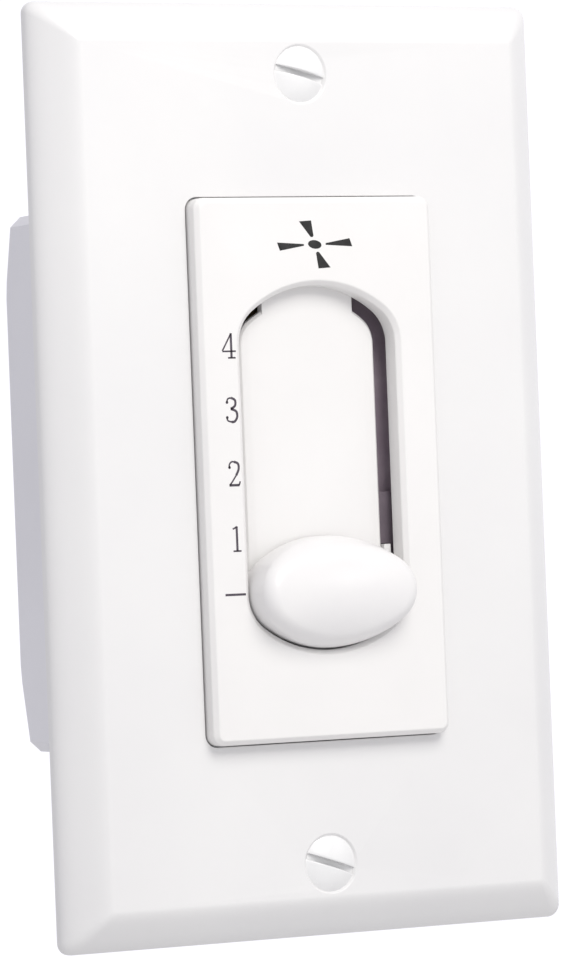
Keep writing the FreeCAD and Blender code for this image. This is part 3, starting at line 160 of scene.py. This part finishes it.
def panel(name, watts, tint, size, place, aim=(0, 0, 0)):
    light = bpy.data.lights.new(name, "AREA")
    light.energy = watts
    light.color = tint
    light.shape = "SQUARE"
    light.size = size
    lamp = bpy.data.objects.new(name, light)
    lamp.location = place
    lamp.rotation_euler = (Vector(aim) - Vector(place)).to_track_quat("-Z", "Y").to_euler()
    bpy.context.scene.collection.objects.link(lamp)
    return lamp


def sky():
    """An even sky that brightens towards the side behind the switch."""
    world = bpy.data.worlds.new("studio")
    world.use_nodes = True
    nodes, links = world.node_tree.nodes, world.node_tree.links
    glow = nodes["Background"]
    glow.inputs["Color"].default_value = (*SKY_TINT, 1)
    facing = nodes.new("ShaderNodeVectorMath")
    facing.operation = "DOT_PRODUCT"
    facing.inputs[1].default_value = BEHIND
    links.new(nodes.new("ShaderNodeTexCoord").outputs["Generated"], facing.inputs[0])
    brighten = nodes.new("ShaderNodeMapRange")
    brighten.interpolation_type = "SMOOTHSTEP"
    brighten.inputs["From Min"].default_value = BEHIND_WIDE
    brighten.inputs["From Max"].default_value = BEHIND_NARROW
    brighten.inputs["To Min"].default_value = SKY_AROUND
    brighten.inputs["To Max"].default_value = SKY_BEHIND
    links.new(facing.outputs["Value"], brighten.inputs["Value"])
    links.new(brighten.outputs["Result"], glow.inputs["Strength"])
    bpy.context.scene.world = world


sky()
key = panel("key", KEY_WATTS, KEY_TINT, KEY_SIZE, KEY_PLACE)
print("key light", round(key.location.length, 2), "m away")

# %% [markdown]
# ## Moulded plastic
# The plate, the insert and the knob are white plastics from polished moulds. Up close such a
# surface is never quite flat: it has a faint ripple from the mould, a finer grain, and a gloss
# that changes a little from place to place. Two noise textures make the ripple and the grain.

# %% A recipe for moulded plastic
NOISE_LOW, NOISE_HIGH = 0.3, 0.7
FINE_DETAIL, WIDE_DETAIL = 4.0, 2.0


def noise(nodes, links, place, size, detail=FINE_DETAIL):
    """A noise whose patches are about as large as size, in metres."""
    texture = nodes.new("ShaderNodeTexNoise")
    texture.inputs["Scale"].default_value = 1 / size
    texture.inputs["Detail"].default_value = detail
    links.new(place, texture.inputs["Vector"])
    return texture.outputs["Fac"]


def spread(nodes, links, value, low, high):
    """Stretches a noise from its usual range over the range from low to high."""
    stretch = nodes.new("ShaderNodeMapRange")
    stretch.inputs["From Min"].default_value = NOISE_LOW
    stretch.inputs["From Max"].default_value = NOISE_HIGH
    stretch.inputs["To Min"].default_value = low
    stretch.inputs["To Max"].default_value = high
    links.new(value, stretch.inputs["Value"])
    return stretch.outputs["Result"]


def two_tones(nodes, links, value, dark, light):
    """Turns a noise into a colour between the two tones."""
    ramp = nodes.new("ShaderNodeValToRGB")
    ramp.color_ramp.elements[0].position = NOISE_LOW
    ramp.color_ramp.elements[1].position = NOISE_HIGH
    ramp.color_ramp.elements[0].color = (*dark, 1)
    ramp.color_ramp.elements[1].color = (*light, 1)
    links.new(value, ramp.inputs["Fac"])
    return ramp.outputs["Color"]


def bumps(nodes, links, value, depth, under=None):
    """Bumps of the given depth, on top of the bumps under them."""
    bump = nodes.new("ShaderNodeBump")
    bump.inputs["Strength"].default_value = 1.0
    bump.inputs["Distance"].default_value = depth
    links.new(value, bump.inputs["Height"])
    if under:
        links.new(under, bump.inputs["Normal"])
    return bump.outputs["Normal"]


FINISHES = {}


def surface(slot, dark, light, rough, tone_size, grain, metal=0.0, ripple=None):
    """A finish between two tones; grain and ripple are each (size, depth) of fine and wide bumps."""
    material = bpy.data.materials.new(slot + "_finish")
    FINISHES[slot] = material
    material.use_nodes = True
    nodes, links = material.node_tree.nodes, material.node_tree.links
    shader = nodes["Principled BSDF"]
    place = nodes.new("ShaderNodeTexCoord").outputs["Object"]
    tone = noise(nodes, links, place, tone_size)
    fine = noise(nodes, links, place, grain[0])
    links.new(two_tones(nodes, links, tone, dark, light), shader.inputs["Base Color"])
    links.new(spread(nodes, links, fine, *rough), shader.inputs["Roughness"])
    normal = bumps(nodes, links, fine, grain[1])
    if ripple:
        wave = noise(nodes, links, place, ripple[0], WIDE_DETAIL)
        normal = bumps(nodes, links, wave, ripple[1], normal)
    links.new(normal, shader.inputs["Normal"])
    shader.inputs["Metallic"].default_value = metal
    return material


# %% Mix the white plastics
WHITE_RIPPLE = (9 * MM, 0.02 * MM)
surface(
    "plate_plastic", dark=(0.765, 0.76, 0.76), light=(0.795, 0.79, 0.785), rough=(0.28, 0.34),
    tone_size=25 * MM, grain=(0.7 * MM, 0.0006 * MM), ripple=WHITE_RIPPLE,
)
surface(
    "insert_plastic", dark=(0.80, 0.79, 0.78), light=(0.825, 0.815, 0.805), rough=(0.36, 0.44),
    tone_size=14 * MM, grain=(0.6 * MM, 0.0006 * MM), ripple=WHITE_RIPPLE,
)
surface(
    "knob_plastic", dark=(0.785, 0.775, 0.775), light=(0.81, 0.80, 0.795), rough=(0.28, 0.34),
    tone_size=8 * MM, grain=(0.5 * MM, 0.0005 * MM), ripple=(5 * MM, 0.01 * MM),
)
# The housing's faint violet cast is painted shade: the cool tone that its shaded side takes on.
surface(
    "housing_plastic", dark=(0.77, 0.765, 0.80), light=(0.81, 0.805, 0.84), rough=(0.42, 0.52),
    tone_size=20 * MM, grain=(0.3 * MM, 0.004 * MM), ripple=(12 * MM, 0.03 * MM),
)
print("white plastics:", list(FINISHES))

# %% [markdown]
# ## Metals and inner materials
# Most of these pieces are inside, but a learner can open the model, so each gets what it is made of:
# zinc and tin plate with a soft sparkle, brass, bronze, spring steel, paper board and so on. The fibre
# sheet and the dark plastic show through the knob's slot, and their tone is partly painted shade.
# A separate recipe for each would say little more. The same one serves, with a metal's share of 1
# and tones that lie further apart.

# %% Mix the metals
surface(
    "white_screw", dark=(0.80, 0.80, 0.80), light=(0.84, 0.84, 0.84), rough=(0.18, 0.28),
    tone_size=3 * MM, grain=(0.6 * MM, 0.0012 * MM), ripple=(2 * MM, 0.012 * MM),
)
surface(
    "plated_steel", dark=(0.52, 0.53, 0.54), light=(0.68, 0.69, 0.70), rough=(0.28, 0.45),
    tone_size=4 * MM, grain=(0.5 * MM, 0.003 * MM), metal=1.0,
)
surface(
    "zinc_screw", dark=(0.56, 0.57, 0.60), light=(0.70, 0.71, 0.74), rough=(0.24, 0.38),
    tone_size=2 * MM, grain=(0.3 * MM, 0.002 * MM), metal=1.0,
)
surface(
    "spring_steel", dark=(0.46, 0.47, 0.50), light=(0.58, 0.59, 0.62), rough=(0.20, 0.30),
    tone_size=2 * MM, grain=(0.2 * MM, 0.001 * MM), metal=1.0,
)
surface(
    "rivet_steel", dark=(0.50, 0.50, 0.51), light=(0.64, 0.64, 0.66), rough=(0.30, 0.42),
    tone_size=1.5 * MM, grain=(0.3 * MM, 0.002 * MM), metal=1.0,
)
surface(
    "bronze", dark=(0.56, 0.33, 0.18), light=(0.68, 0.42, 0.24), rough=(0.24, 0.36),
    tone_size=2 * MM, grain=(0.2 * MM, 0.001 * MM), metal=1.0,
)
surface(
    "brass_contact", dark=(0.66, 0.50, 0.20), light=(0.80, 0.62, 0.28), rough=(0.22, 0.36),
    tone_size=1.5 * MM, grain=(0.2 * MM, 0.001 * MM), metal=1.0,
)
surface(
    "tinned_wire", dark=(0.62, 0.62, 0.63), light=(0.76, 0.76, 0.76), rough=(0.28, 0.42),
    tone_size=1 * MM, grain=(0.15 * MM, 0.002 * MM), metal=1.0,
)
surface(
    "tinned_eyelet", dark=(0.60, 0.60, 0.60), light=(0.74, 0.73, 0.72), rough=(0.24, 0.40),
    tone_size=1 * MM, grain=(0.15 * MM, 0.002 * MM), metal=1.0,
)
print("finishes so far:", len(FINISHES))

# %% Mix the inner plastics and papers
# The fibre sheet and the dark plastic are dark of their own. Their violet grey tone is painted shade,
# set so that the slot beside the knob shows as dark as the shade in it.
surface(
    "fibre_sheet", dark=(0.33, 0.265, 0.32), light=(0.40, 0.33, 0.385), rough=(0.60, 0.75),
    tone_size=3 * MM, grain=(0.2 * MM, 0.004 * MM),
)
surface(
    "dark_plastic", dark=(0.16, 0.13, 0.155), light=(0.20, 0.165, 0.195), rough=(0.40, 0.55),
    tone_size=5 * MM, grain=(0.2 * MM, 0.004 * MM),
)
surface(
    "board_laminate", dark=(0.42, 0.28, 0.12), light=(0.56, 0.40, 0.20), rough=(0.45, 0.60),
    tone_size=2 * MM, grain=(0.3 * MM, 0.003 * MM),
)
surface(
    "capacitor_case", dark=(0.55, 0.42, 0.06), light=(0.66, 0.52, 0.10), rough=(0.35, 0.48),
    tone_size=6 * MM, grain=(0.3 * MM, 0.004 * MM), ripple=(4 * MM, 0.02 * MM),
)
surface(
    "resistor_body", dark=(0.55, 0.42, 0.30), light=(0.68, 0.54, 0.40), rough=(0.40, 0.55),
    tone_size=2 * MM, grain=(0.2 * MM, 0.004 * MM), ripple=(1.5 * MM, 0.01 * MM),
)
print("finishes in all:", len(FINISHES))

# %% [markdown]
# ## Dress the CAD nodes
# Every node of the record names the slot it takes its finish from. The finishes above carry the
# same names, so a loop can give each node its own material in place of the plain CAD colour.

# %% Give every node its finish
SLOT_OF = {part["node"]: part["material_slot"] for part in frame["record"]["subparts"]}

for name, node in frame["nodes"].items():
    for place in node.material_slots:
        place.material = FINISHES[SLOT_OF[name]]
print("dressed nodes:", len(SLOT_OF))

# %% [markdown]
# ## Softened edges
# A mould or a press leaves no knife edges, and it is the thin light along a rounded edge that makes
# a white piece readable on white. The CAD solids are exact, with flat bevels. Rounding them in the
# shading alone would leave the outline hard. So each piece that shows gets a copy: its flat
# triangles are joined into whole faces, a bevel modifier rounds the sharp edges, and the copy
# stands in place of the node.

# %% Make a softened copy of a node
FLAT, SHARP = math.radians(0.5), math.radians(28)
WELD = 0.0005 * MM
ROUNDING_STEPS = 3
FULLY = 1.0


def node_shape(node_name):
    """The node's mesh as an editable shape, with its flat triangles joined into whole faces."""
    shape = bmesh.new()
    shape.from_mesh(frame["nodes"][node_name].data)
    bmesh.ops.remove_doubles(shape, verts=shape.verts, dist=WELD)
    bmesh.ops.dissolve_limit(shape, angle_limit=FLAT, verts=shape.verts, edges=shape.edges)
    return shape


def new_piece(name, shape, finish, body="base"):
    mesh = bpy.data.meshes.new(name)
    shape.to_mesh(mesh)
    shape.free()
    mesh.materials.append(FINISHES[finish])
    mesh.shade_smooth()
    mesh.set_sharp_from_angle(angle=SHARP)
    piece = bpy.data.objects.new(name, mesh)
    bpy.context.scene.collection.objects.link(piece)
    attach(piece, body)
    return piece


def stand_in(piece, node_name):
    """Hides the node, so that the piece takes its place."""
    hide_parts(node_name)
    return piece


def weigh_edges(shape, front, elsewhere):
    """Marks sharp edges to be rounded, fully in front of a level and by a share elsewhere."""
    weight = shape.edges.layers.float.new("bevel_weight_edge")
    for edge in shape.edges:
        if edge.calc_face_angle(0) > SHARP:
            in_front = all(point.co.y < front for point in edge.verts)
            edge[weight] = FULLY if in_front else elsewhere


def round_edges(piece, width):
    rounding = piece.modifiers.new("rounding", "BEVEL")
    rounding.width = width
    rounding.segments = ROUNDING_STEPS
    rounding.limit_method = "WEIGHT"
    rounding.harden_normals = True
    return piece


def softened(node_name, width, front=cad_box[1].y, elsewhere=FULLY):
    """A copy of the node, its sharp edges rounded fully down to the front level, then by a share."""
    shape = node_shape(node_name)
    weigh_edges(shape, front, elsewhere)
    piece = new_piece(node_name + "_soft", shape, SLOT_OF[node_name])
    return stand_in(round_edges(piece, width), node_name)


# %% Soften the insert, the strap and the housing
INSERT_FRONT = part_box("face_insert")[0].y
INSERT_ROUND, INSERT_BEVEL = 0.60 * MM, 0.65 * MM
INSERT_BACK_SHARE = 0.25
STRAP_ROUND, HOUSING_ROUND = 0.15 * MM, 0.35 * MM
insert = softened("face_insert", INSERT_ROUND, INSERT_FRONT + INSERT_BEVEL, INSERT_BACK_SHARE)
strap = softened("mounting_strap", STRAP_ROUND)
housing = softened("rear_housing", HOUSING_ROUND)
for piece in (insert, strap, housing):
    print(piece.name, len(piece.data.polygons), "faces before rounding")

# %% [markdown]
# ## The plate's rolled edge
# The plate's front rolls over towards the wall with no crisp line anywhere. CAD drew it as a flat
# bevel with small rounds. Here the CAD skin is taken off there, and a new one is built in rings
# round the plate. Each ring is a rectangle with rounded corners, set in from the edge by one step
# of a profile: two soft curves, which have the bevel's two corners as their pulling points.

# %% Trace the profile of the roll
plate_low, plate_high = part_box("wall_plate")
PLATE_FRONT = plate_low.y
BEVEL_WIDE, PLATE_RIM, PLATE_CORNER = 4.3 * MM, 1.8 * MM, 1.5 * MM
ROLL_START, ROLL_END = 5.2 * MM, 0.7 * MM
SOFT_SHARES = (0.54, 0.56)
CURVE_STEPS = 12


def soft_curve(start, corner, end):
    """Points of a curve that leaves start towards the corner and reaches end from the corner."""
    curve = []
    for step in range(CURVE_STEPS + 1):
        t = step / CURVE_STEPS
        curve.append(start * (1 - t) ** 2 + corner * (2 * t * (1 - t)) + end * t * t)
    return curve


def plate_profile():
    """Points (distance in from the edge, level) from the flat face over the roll to the wall."""
    face_corner, rim_corner = Vector((BEVEL_WIDE, PLATE_FRONT)), Vector((0, -PLATE_RIM))
    upper, lower = (face_corner.lerp(rim_corner, share) for share in SOFT_SHARES)
    profile = soft_curve(Vector((ROLL_START, PLATE_FRONT)), face_corner, upper)
    profile += soft_curve(lower, rim_corner, Vector((0, -ROLL_END)))
    return profile + [Vector((0, 0))]


# %% Build the plate round it
CORNER_STEPS = 8
QUARTERS = [(1, 1), (-1, 1), (-1, -1), (1, -1)]


def frame_ring(inset, level):
    """A rectangle of points with rounded corners, parallel to the plate's outline."""
    corner = PLATE_CORNER * max(1 - inset / ROLL_START, 0) ** 0.5
    half_x, half_z = plate_high.x - inset - corner, plate_high.z - inset - corner
    ring = []
    for quarter, (side, end) in enumerate(QUARTERS):
        for step in range(CORNER_STEPS + 1):
            angle = math.pi / 2 * (quarter + step / CORNER_STEPS)
            x = side * half_x + corner * math.cos(angle)
            z = end * half_z + corner * math.sin(angle)
            ring.append((x, level, z))
    return ring


def cut_away(shape, place, outwards, belongs=lambda face: True):
    """Cuts away what lies beyond a plane, of the faces that belong."""
    faces = [face for face in shape.faces if belongs(face)]
    edges = {edge for face in faces for edge in face.edges}
    points = {point for face in faces for point in face.verts}
    whole = [*points, *edges, *faces]
    bmesh.ops.bisect_plane(shape, geom=whole, plane_co=place, plane_no=outwards, clear_outer=True)


def skin(shape, rings):
    """Joins each closed ring of points to the next with faces."""
    rows = [[shape.verts.new(point) for point in ring] for ring in rings]
    for row, after in zip(rows, rows[1:]):
        for i, point in enumerate(row):
            onward = (i + 1) % len(row)
            shape.faces.new((point, row[onward], after[onward], after[i]))
    return rows


def on_front(face):
    """True where the whole face lies on the plate's flat front."""
    return all(point.co.y < PLATE_FRONT + WELD for point in face.verts)


def on_outside(face):
    """True where the whole face lies on the rim, the bevel or the rounds between them."""
    for point in face.verts:
        inset = min(plate_high.x - abs(point.co.x), plate_high.z - abs(point.co.z))
        above_rim = max(-point.co.y - PLATE_RIM, 0)
        if inset > above_rim * BEVEL_WIDE / (-PLATE_FRONT - PLATE_RIM) + PLATE_CORNER / 2:
            return False
    return True


HOLE_ROUND, PLATE_BACK_SHARE = 0.30 * MM, 0.3


def plate_shape():
    """The CAD plate without its outside, and the rolled skin in place of that."""
    shape = node_shape("wall_plate")
    bmesh.ops.delete(shape, geom=[face for face in shape.faces if on_outside(face)], context="FACES")
    for side in (-1, 1):
        cut_away(shape, (side * (plate_high.x - ROLL_START), 0, 0), (side, 0, 0), on_front)
        cut_away(shape, (0, 0, side * (plate_high.z - ROLL_START)), (0, 0, side), on_front)
    weigh_edges(shape, PLATE_FRONT + WELD, PLATE_BACK_SHARE)
    skin(shape, [frame_ring(*point) for point in plate_profile()])
    bmesh.ops.remove_doubles(shape, verts=shape.verts, dist=WELD)
    bmesh.ops.recalc_face_normals(shape, faces=shape.faces)
    return shape


plate = new_piece("wall_plate_rolled", plate_shape(), "plate_plastic")
stand_in(round_edges(plate, HOLE_ROUND), "wall_plate")
print("plate faces before rounding:", len(plate.data.polygons))

# %% [markdown]
# ## The knob
# The knob is an oval button whose front is rolled over towards the top and the bottom, with a
# generous round all along its rim and a faint dish for the thumb just above its middle. CAD drew
# the rim as a flat bevel. Here the cap is built in rings, because the oval and all its inner
# parallels are four arcs, so a ring is one formula. The legs behind it come from the CAD node.

# %% Measure the knob
knob_low, knob_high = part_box("slide_knob")
KNOB_MIDDLE = (knob_low.z + knob_high.z) / 2
HALF_WIDE, HALF_TALL = knob_high.x, (knob_high.z - knob_low.z) / 2
KNOB_FRONT = knob_low.y
END_RADIUS = 4.9 * MM
CROWN_RADIUS = 9.5 * MM
RIM_ROUND = 1.7 * MM
CAP_DEPTH = 6.2 * MM
END_CENTRE = HALF_WIDE - END_RADIUS
WIDE_RADIUS = (END_CENTRE ** 2 + HALF_TALL ** 2 - END_RADIUS ** 2) / (2 * (HALF_TALL - END_RADIUS))
WIDE_CENTRE = WIDE_RADIUS - HALF_TALL
TURN_OVER = math.atan2(WIDE_CENTRE, END_CENTRE)
print("oval, mm:", round(2 * HALF_WIDE / MM, 2), "by", round(2 * HALF_TALL / MM, 2))
print("radius of its wide arcs, mm:", round(WIDE_RADIUS / MM, 2))


# %% Shape the knob's cap
RING_POINTS, RIM_STEPS, FACE_STEPS = 192, 12, 22
DISH_MIDDLE = (0.6 * MM, 2.6 * MM)
DISH_HALF = (4.6 * MM, 1.5 * MM)
DISH_DEPTH = 0.24 * MM


def oval_point(angle, inset):
    """The point of the four-arc oval, moved inwards by inset, whose outward direction is angle."""
    across, up = math.cos(angle), math.sin(angle)
    if abs(up) < math.sin(TURN_OVER):
        radius = END_RADIUS - inset
        return math.copysign(END_CENTRE, across) + radius * across, radius * up
    radius = WIDE_RADIUS - inset
    return radius * across, radius * up - math.copysign(WIDE_CENTRE, up)


def cap_front(x, z):
    """How far forward the rolled front lies, with the thumb's dish let into it."""
    rolled = CROWN_RADIUS - math.sqrt(CROWN_RADIUS ** 2 - z ** 2)
    off = ((x - DISH_MIDDLE[0]) / DISH_HALF[0]) ** 2 + ((z - DISH_MIDDLE[1]) / DISH_HALF[1]) ** 2
    return KNOB_FRONT + rolled + DISH_DEPTH * math.exp(-off)


def cap_rings():
    """Rings of points from the cap's open back edge, over the rim and in to the middle."""
    angles = [2 * math.pi * i / RING_POINTS for i in range(RING_POINTS)]
    edge = [oval_point(a, 0) for a in angles]
    yield [(x, KNOB_FRONT + CAP_DEPTH, z) for x, z in edge]
    for step in range(RIM_STEPS + 1):
        bend = math.pi / 2 * step / RIM_STEPS
        inset, fall = RIM_ROUND * (1 - math.cos(bend)), RIM_ROUND * (1 - math.sin(bend))
        ring = [oval_point(a, inset) for a in angles]
        yield [(x, cap_front(x, z) + fall, z) for x, z in ring]
    for step in range(1, FACE_STEPS):
        share = 1 - step / FACE_STEPS
        yield [(x * share, cap_front(x * share, z * share), z * share) for x, z in ring]


def knob_shape():
    """The CAD knob behind the cap's back edge, and the smooth cap in front of it."""
    shape = node_shape("slide_knob")
    cut_away(shape, (0, KNOB_FRONT + CAP_DEPTH, 0), (0, -1, 0))
    rows = skin(shape, [[(x, y, z + KNOB_MIDDLE) for x, y, z in ring] for ring in cap_rings()])
    middle = shape.verts.new((0, cap_front(0, 0), KNOB_MIDDLE))
    for i, point in enumerate(rows[-1]):
        shape.faces.new((point, rows[-1][(i + 1) % RING_POINTS], middle))
    bmesh.ops.recalc_face_normals(shape, faces=shape.faces)
    return shape


knob = stand_in(new_piece("slide_knob_smooth", knob_shape(), "knob_plastic", "slider"), "slide_knob")
print("knob faces:", len(knob.data.polygons))

# %% [markdown]
# ## The plate's screws
# An oval-head screw has a low dome above its countersunk cone. CAD turned the dome with two flat
# slopes. A turned dome with a slot cut into it would leave ragged faces along the cut. Here it is
# laid in straight columns along the slot, so that the slot's edges are exact and the dome between
# them is smooth. The slot's floor, the cone and the shank come from the CAD node.

# %% Build the two domed heads
screws_low, screws_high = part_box("plate_screws")
HEAD_RADIUS = screws_high.x
DOME = 1.1 * MM
HEAD_FRONT = screws_low.y
RIM_LEVEL = HEAD_FRONT + DOME
SCREW_HEIGHT = screws_high.z - HEAD_RADIUS
SLOT_HALF = 0.40 * MM
SLOT_TURNS = {1: math.radians(14.6), -1: math.radians(18.7)}
DOME_RADIUS = (HEAD_RADIUS ** 2 + DOME ** 2) / (2 * DOME)
COLUMN_STEPS, COLUMN_POINTS = 16, 28
EDGE_ROUND, EDGE_BEND = 0.12 * MM, 0.3


def dome_front(x, z):
    """How far forward the dome lies, at a place given from the head's middle."""
    sink = DOME_RADIUS - math.sqrt(DOME_RADIUS ** 2 - x * x - z * z)
    return HEAD_FRONT + sink


def head_columns():
    """Columns from each side of the head into its slot, as (place across, depth below the dome)."""
    reach = [SLOT_HALF + (HEAD_RADIUS - SLOT_HALF) * math.sin(math.pi / 2 * i / COLUMN_STEPS)
             for i in range(COLUMN_STEPS + 1)]
    reach[0] += EDGE_ROUND
    half = [(x, 0.0) for x in reversed(reach)]
    bend = EDGE_ROUND * EDGE_BEND
    half += [(SLOT_HALF + bend, bend), (SLOT_HALF, EDGE_ROUND), (SLOT_HALF, DOME)]
    return half, [(-x, deep) for x, deep in half]


def add_head(shape, side):
    """One domed head with its slot; side is 1 for the top screw and -1 for the low one."""
    turn = SLOT_TURNS[side]
    for half in head_columns():
        columns = []
        for x, deep in half:
            tall = math.sqrt(max(HEAD_RADIUS ** 2 - x * x, 0))
            column = []
            for i in range(COLUMN_POINTS + 1):
                z = tall * math.sin(math.pi * (i / COLUMN_POINTS - 0.5))
                y = min(dome_front(x, z) + deep, RIM_LEVEL)
                right = z * math.cos(turn) + x * math.sin(turn)
                up = x * math.cos(turn) - z * math.sin(turn)
                column.append(shape.verts.new((right, y, up + side * SCREW_HEIGHT)))
            columns.append(column)
        for column, after in zip(columns, columns[1:]):
            for i in range(COLUMN_POINTS):
                shape.faces.new((column[i], column[i + 1], after[i + 1], after[i]))


def screws_shape():
    """The CAD screws behind their domes' rims, and a dome on each."""
    shape = node_shape("plate_screws")
    cut_away(shape, (0, RIM_LEVEL, 0), (0, -1, 0))
    for side in SLOT_TURNS:
        add_head(shape, side)
    bmesh.ops.remove_doubles(shape, verts=shape.verts, dist=WELD)
    bmesh.ops.recalc_face_normals(shape, faces=shape.faces)
    return shape


screws = stand_in(new_piece("plate_screws_domed", screws_shape(), "white_screw"), "plate_screws")
print("screw faces:", len(screws.data.polygons))

# %% [markdown]
# ## Printed scale
# The numerals are printed in thin dark ink on the insert's face, in a narrow type with small feet
# and round ends to its hooks. A font would need a file, and its figures would be others. Each is
# a few pen strokes in a unit square. A smooth line through a stroke's points, given the pen's
# width, becomes a flat ribbon of ink.

# %% Mix the inks
surface(
    "figure_ink", dark=(0.050, 0.040, 0.055), light=(0.085, 0.070, 0.090), rough=(0.45, 0.60),
    tone_size=0.6 * MM, grain=(0.15 * MM, 0.001 * MM),
)
surface(
    "symbol_ink", dark=(0.004, 0.004, 0.004), light=(0.022, 0.021, 0.021), rough=(0.45, 0.60),
    tone_size=0.9 * MM, grain=(0.15 * MM, 0.001 * MM),
)
print("finishes with the inks:", len(FINISHES))

# %% Draw with a pen
INK_LIFT = 0.012 * MM
INK_LEVEL = INSERT_FRONT - INK_LIFT
STROKE_STEPS, SPOT_POINTS = 8, 24


def smooth_line(points):
    """Points along the smooth line through the given ones; two points make a straight line."""
    if len(points) == 2:
        return [Vector(p) for p in points]
    known = [Vector(p) for p in (points[0], *points, points[-1])]
    line = []
    for before, start, end, after in zip(known, known[1:], known[2:], known[3:]):
        for step in range(STROKE_STEPS):
            t = step / STROKE_STEPS
            pull = (end - before) * t + (2 * before - 5 * start + 4 * end - after) * t * t
            line.append(start + 0.5 * (pull + (3 * start - before - 3 * end + after) * t ** 3))
    return line + [known[-1]]


def ribbon(shape, points, width, to_face):
    """Lays a ribbon of ink along the line; to_face turns a drawing's point into a place."""
    line = [to_face(p) for p in smooth_line(points)]
    edges = []
    for i, point in enumerate(line):
        way = (line[min(i + 1, len(line) - 1)] - line[max(i - 1, 0)]).normalized()
        out = Vector((-way.y, way.x)) * width / 2
        edges.append([shape.verts.new((p.x, INK_LEVEL, p.y)) for p in (point + out, point - out)])
    for (left, right), (left_on, right_on) in zip(edges, edges[1:]):
        shape.faces.new((left, right, right_on, left_on))


def dot(shape, middle, radius, squash=1.0, tilt=0.0):
    """A round or oval spot of ink."""
    spots = []
    for i in range(SPOT_POINTS):
        angle = 2 * math.pi * i / SPOT_POINTS
        x, z = radius * math.cos(angle), radius * squash * math.sin(angle)
        right = x * math.cos(tilt) - z * math.sin(tilt)
        up = x * math.sin(tilt) + z * math.cos(tilt)
        spots.append(shape.verts.new((middle[0] + right, INK_LEVEL, middle[1] + up)))
    shape.faces.new(spots)


# %% Print the numerals and the dash for "off"
FIGURE_TALL, FIGURE_WIDE = 3.05 * MM, 1.62 * MM
THICK, THIN, BALL = 0.30 * MM, 0.20 * MM, 0.18 * MM
FIGURES_X = -12.55 * MM
FIGURE_HEIGHTS = {"4": 15.20 * MM, "3": 7.43 * MM, "2": -0.33 * MM, "1": -8.22 * MM}
DASH_ENDS, DASH_HEIGHT, DASH_WIDE = (-14.40 * MM, -11.60 * MM), -14.95 * MM, 0.28 * MM
# Each stroke is (pen width, points), with 0 to 1 as the figure's width and height
STROKES = {
    "1": [(THICK, [(0.52, 0), (0.52, 1)]), (THIN, [(0.18, 0.90), (0.38, 0.94), (0.52, 1.0)]),
          (THIN, [(0.18, 0.02), (0.86, 0.02)])],
    "2": [(THIN, [(0.10, 0.74), (0.12, 0.88), (0.30, 0.98), (0.52, 0.98)]),
          (THICK, [(0.52, 0.98), (0.84, 0.90), (0.88, 0.68), (0.66, 0.44)]),
          (THIN, [(0.66, 0.44), (0.30, 0.18), (0.08, 0.05)]),
          (THICK, [(0.06, 0.05), (0.90, 0.05)]), (THIN, [(0.88, 0.04), (0.98, 0.20)])],
    "3": [(THIN, [(0.10, 0.80), (0.20, 0.94), (0.46, 0.98)]),
          (THICK, [(0.46, 0.98), (0.80, 0.88), (0.78, 0.66), (0.42, 0.54)]),
          (THICK, [(0.42, 0.54), (0.86, 0.44), (0.94, 0.22), (0.72, 0.04), (0.44, 0.02)]),
          (THIN, [(0.44, 0.02), (0.14, 0.08), (0.06, 0.22)])],
    "4": [(THICK, [(0.66, 0), (0.66, 1)]), (THIN, [(0.66, 0.98), (-0.10, 0.30)]),
          (THIN, [(-0.10, 0.28), (1.04, 0.28)]), (THIN, [(0.36, 0.02), (1.00, 0.02)])],
}
BALLS = {"2": [(0.12, 0.76)], "3": [(0.12, 0.80), (0.10, 0.20)]}


def scale_shape():
    """All numerals and the dash, as one flat shape."""
    shape = bmesh.new()
    for figure, height in FIGURE_HEIGHTS.items():
        corner = Vector((FIGURES_X - FIGURE_WIDE / 2, height - FIGURE_TALL / 2))

        def to_face(point):
            return corner + Vector((point[0] * FIGURE_WIDE, point[1] * FIGURE_TALL))

        for width, points in STROKES[figure]:
            ribbon(shape, points, width, to_face)
        for point in BALLS.get(figure, []):
            dot(shape, to_face(point), BALL)
    dash = [(x, DASH_HEIGHT) for x in DASH_ENDS]
    ribbon(shape, dash, DASH_WIDE, Vector)
    return shape


scale_marks = new_piece("scale_marks", scale_shape(), "figure_ink")
print("figures printed:", sorted(STROKES))

# %% [markdown]
# ## Fan symbol
# Above the recess is a four-blade ceiling fan seen from below at a slant, so its blades are short
# wedges of two kinds. Each kind is drawn once, by its corners from the hub's middle, and repeated
# on the far side with its signs turned.

# %% Print the fan
FAN_MIDDLE = Vector((-0.17, 27.36)) * MM
HUB_RADIUS, HUB_SQUASH, HUB_TILT = 0.94 * MM, 0.56, math.radians(-8)
LONG_BLADE = [(-5.24, 0.28), (-1.52, 0.06), (-1.52, -0.15), (-4.88, -0.72)]
SHORT_BLADE = [(-2.08, 2.84), (-0.40, 2.94), (-0.13, 1.06), (-0.28, 0.90), (-0.54, 0.92)]


def fan_shape():
    """Two pairs of blades round an oval hub."""
    shape = bmesh.new()
    for blade in (LONG_BLADE, SHORT_BLADE):
        for sign in (1, -1):
            corners = [FAN_MIDDLE + Vector(p) * MM * sign for p in blade]
            shape.faces.new([shape.verts.new((c.x, INK_LEVEL, c.y)) for c in corners])
    dot(shape, FAN_MIDDLE, HUB_RADIUS, HUB_SQUASH, HUB_TILT)
    return shape


fan_symbol = new_piece("fan_symbol", fan_shape(), "symbol_ink")
print("fan symbol at", [round(v / MM, 2) for v in FAN_MIDDLE], "mm")
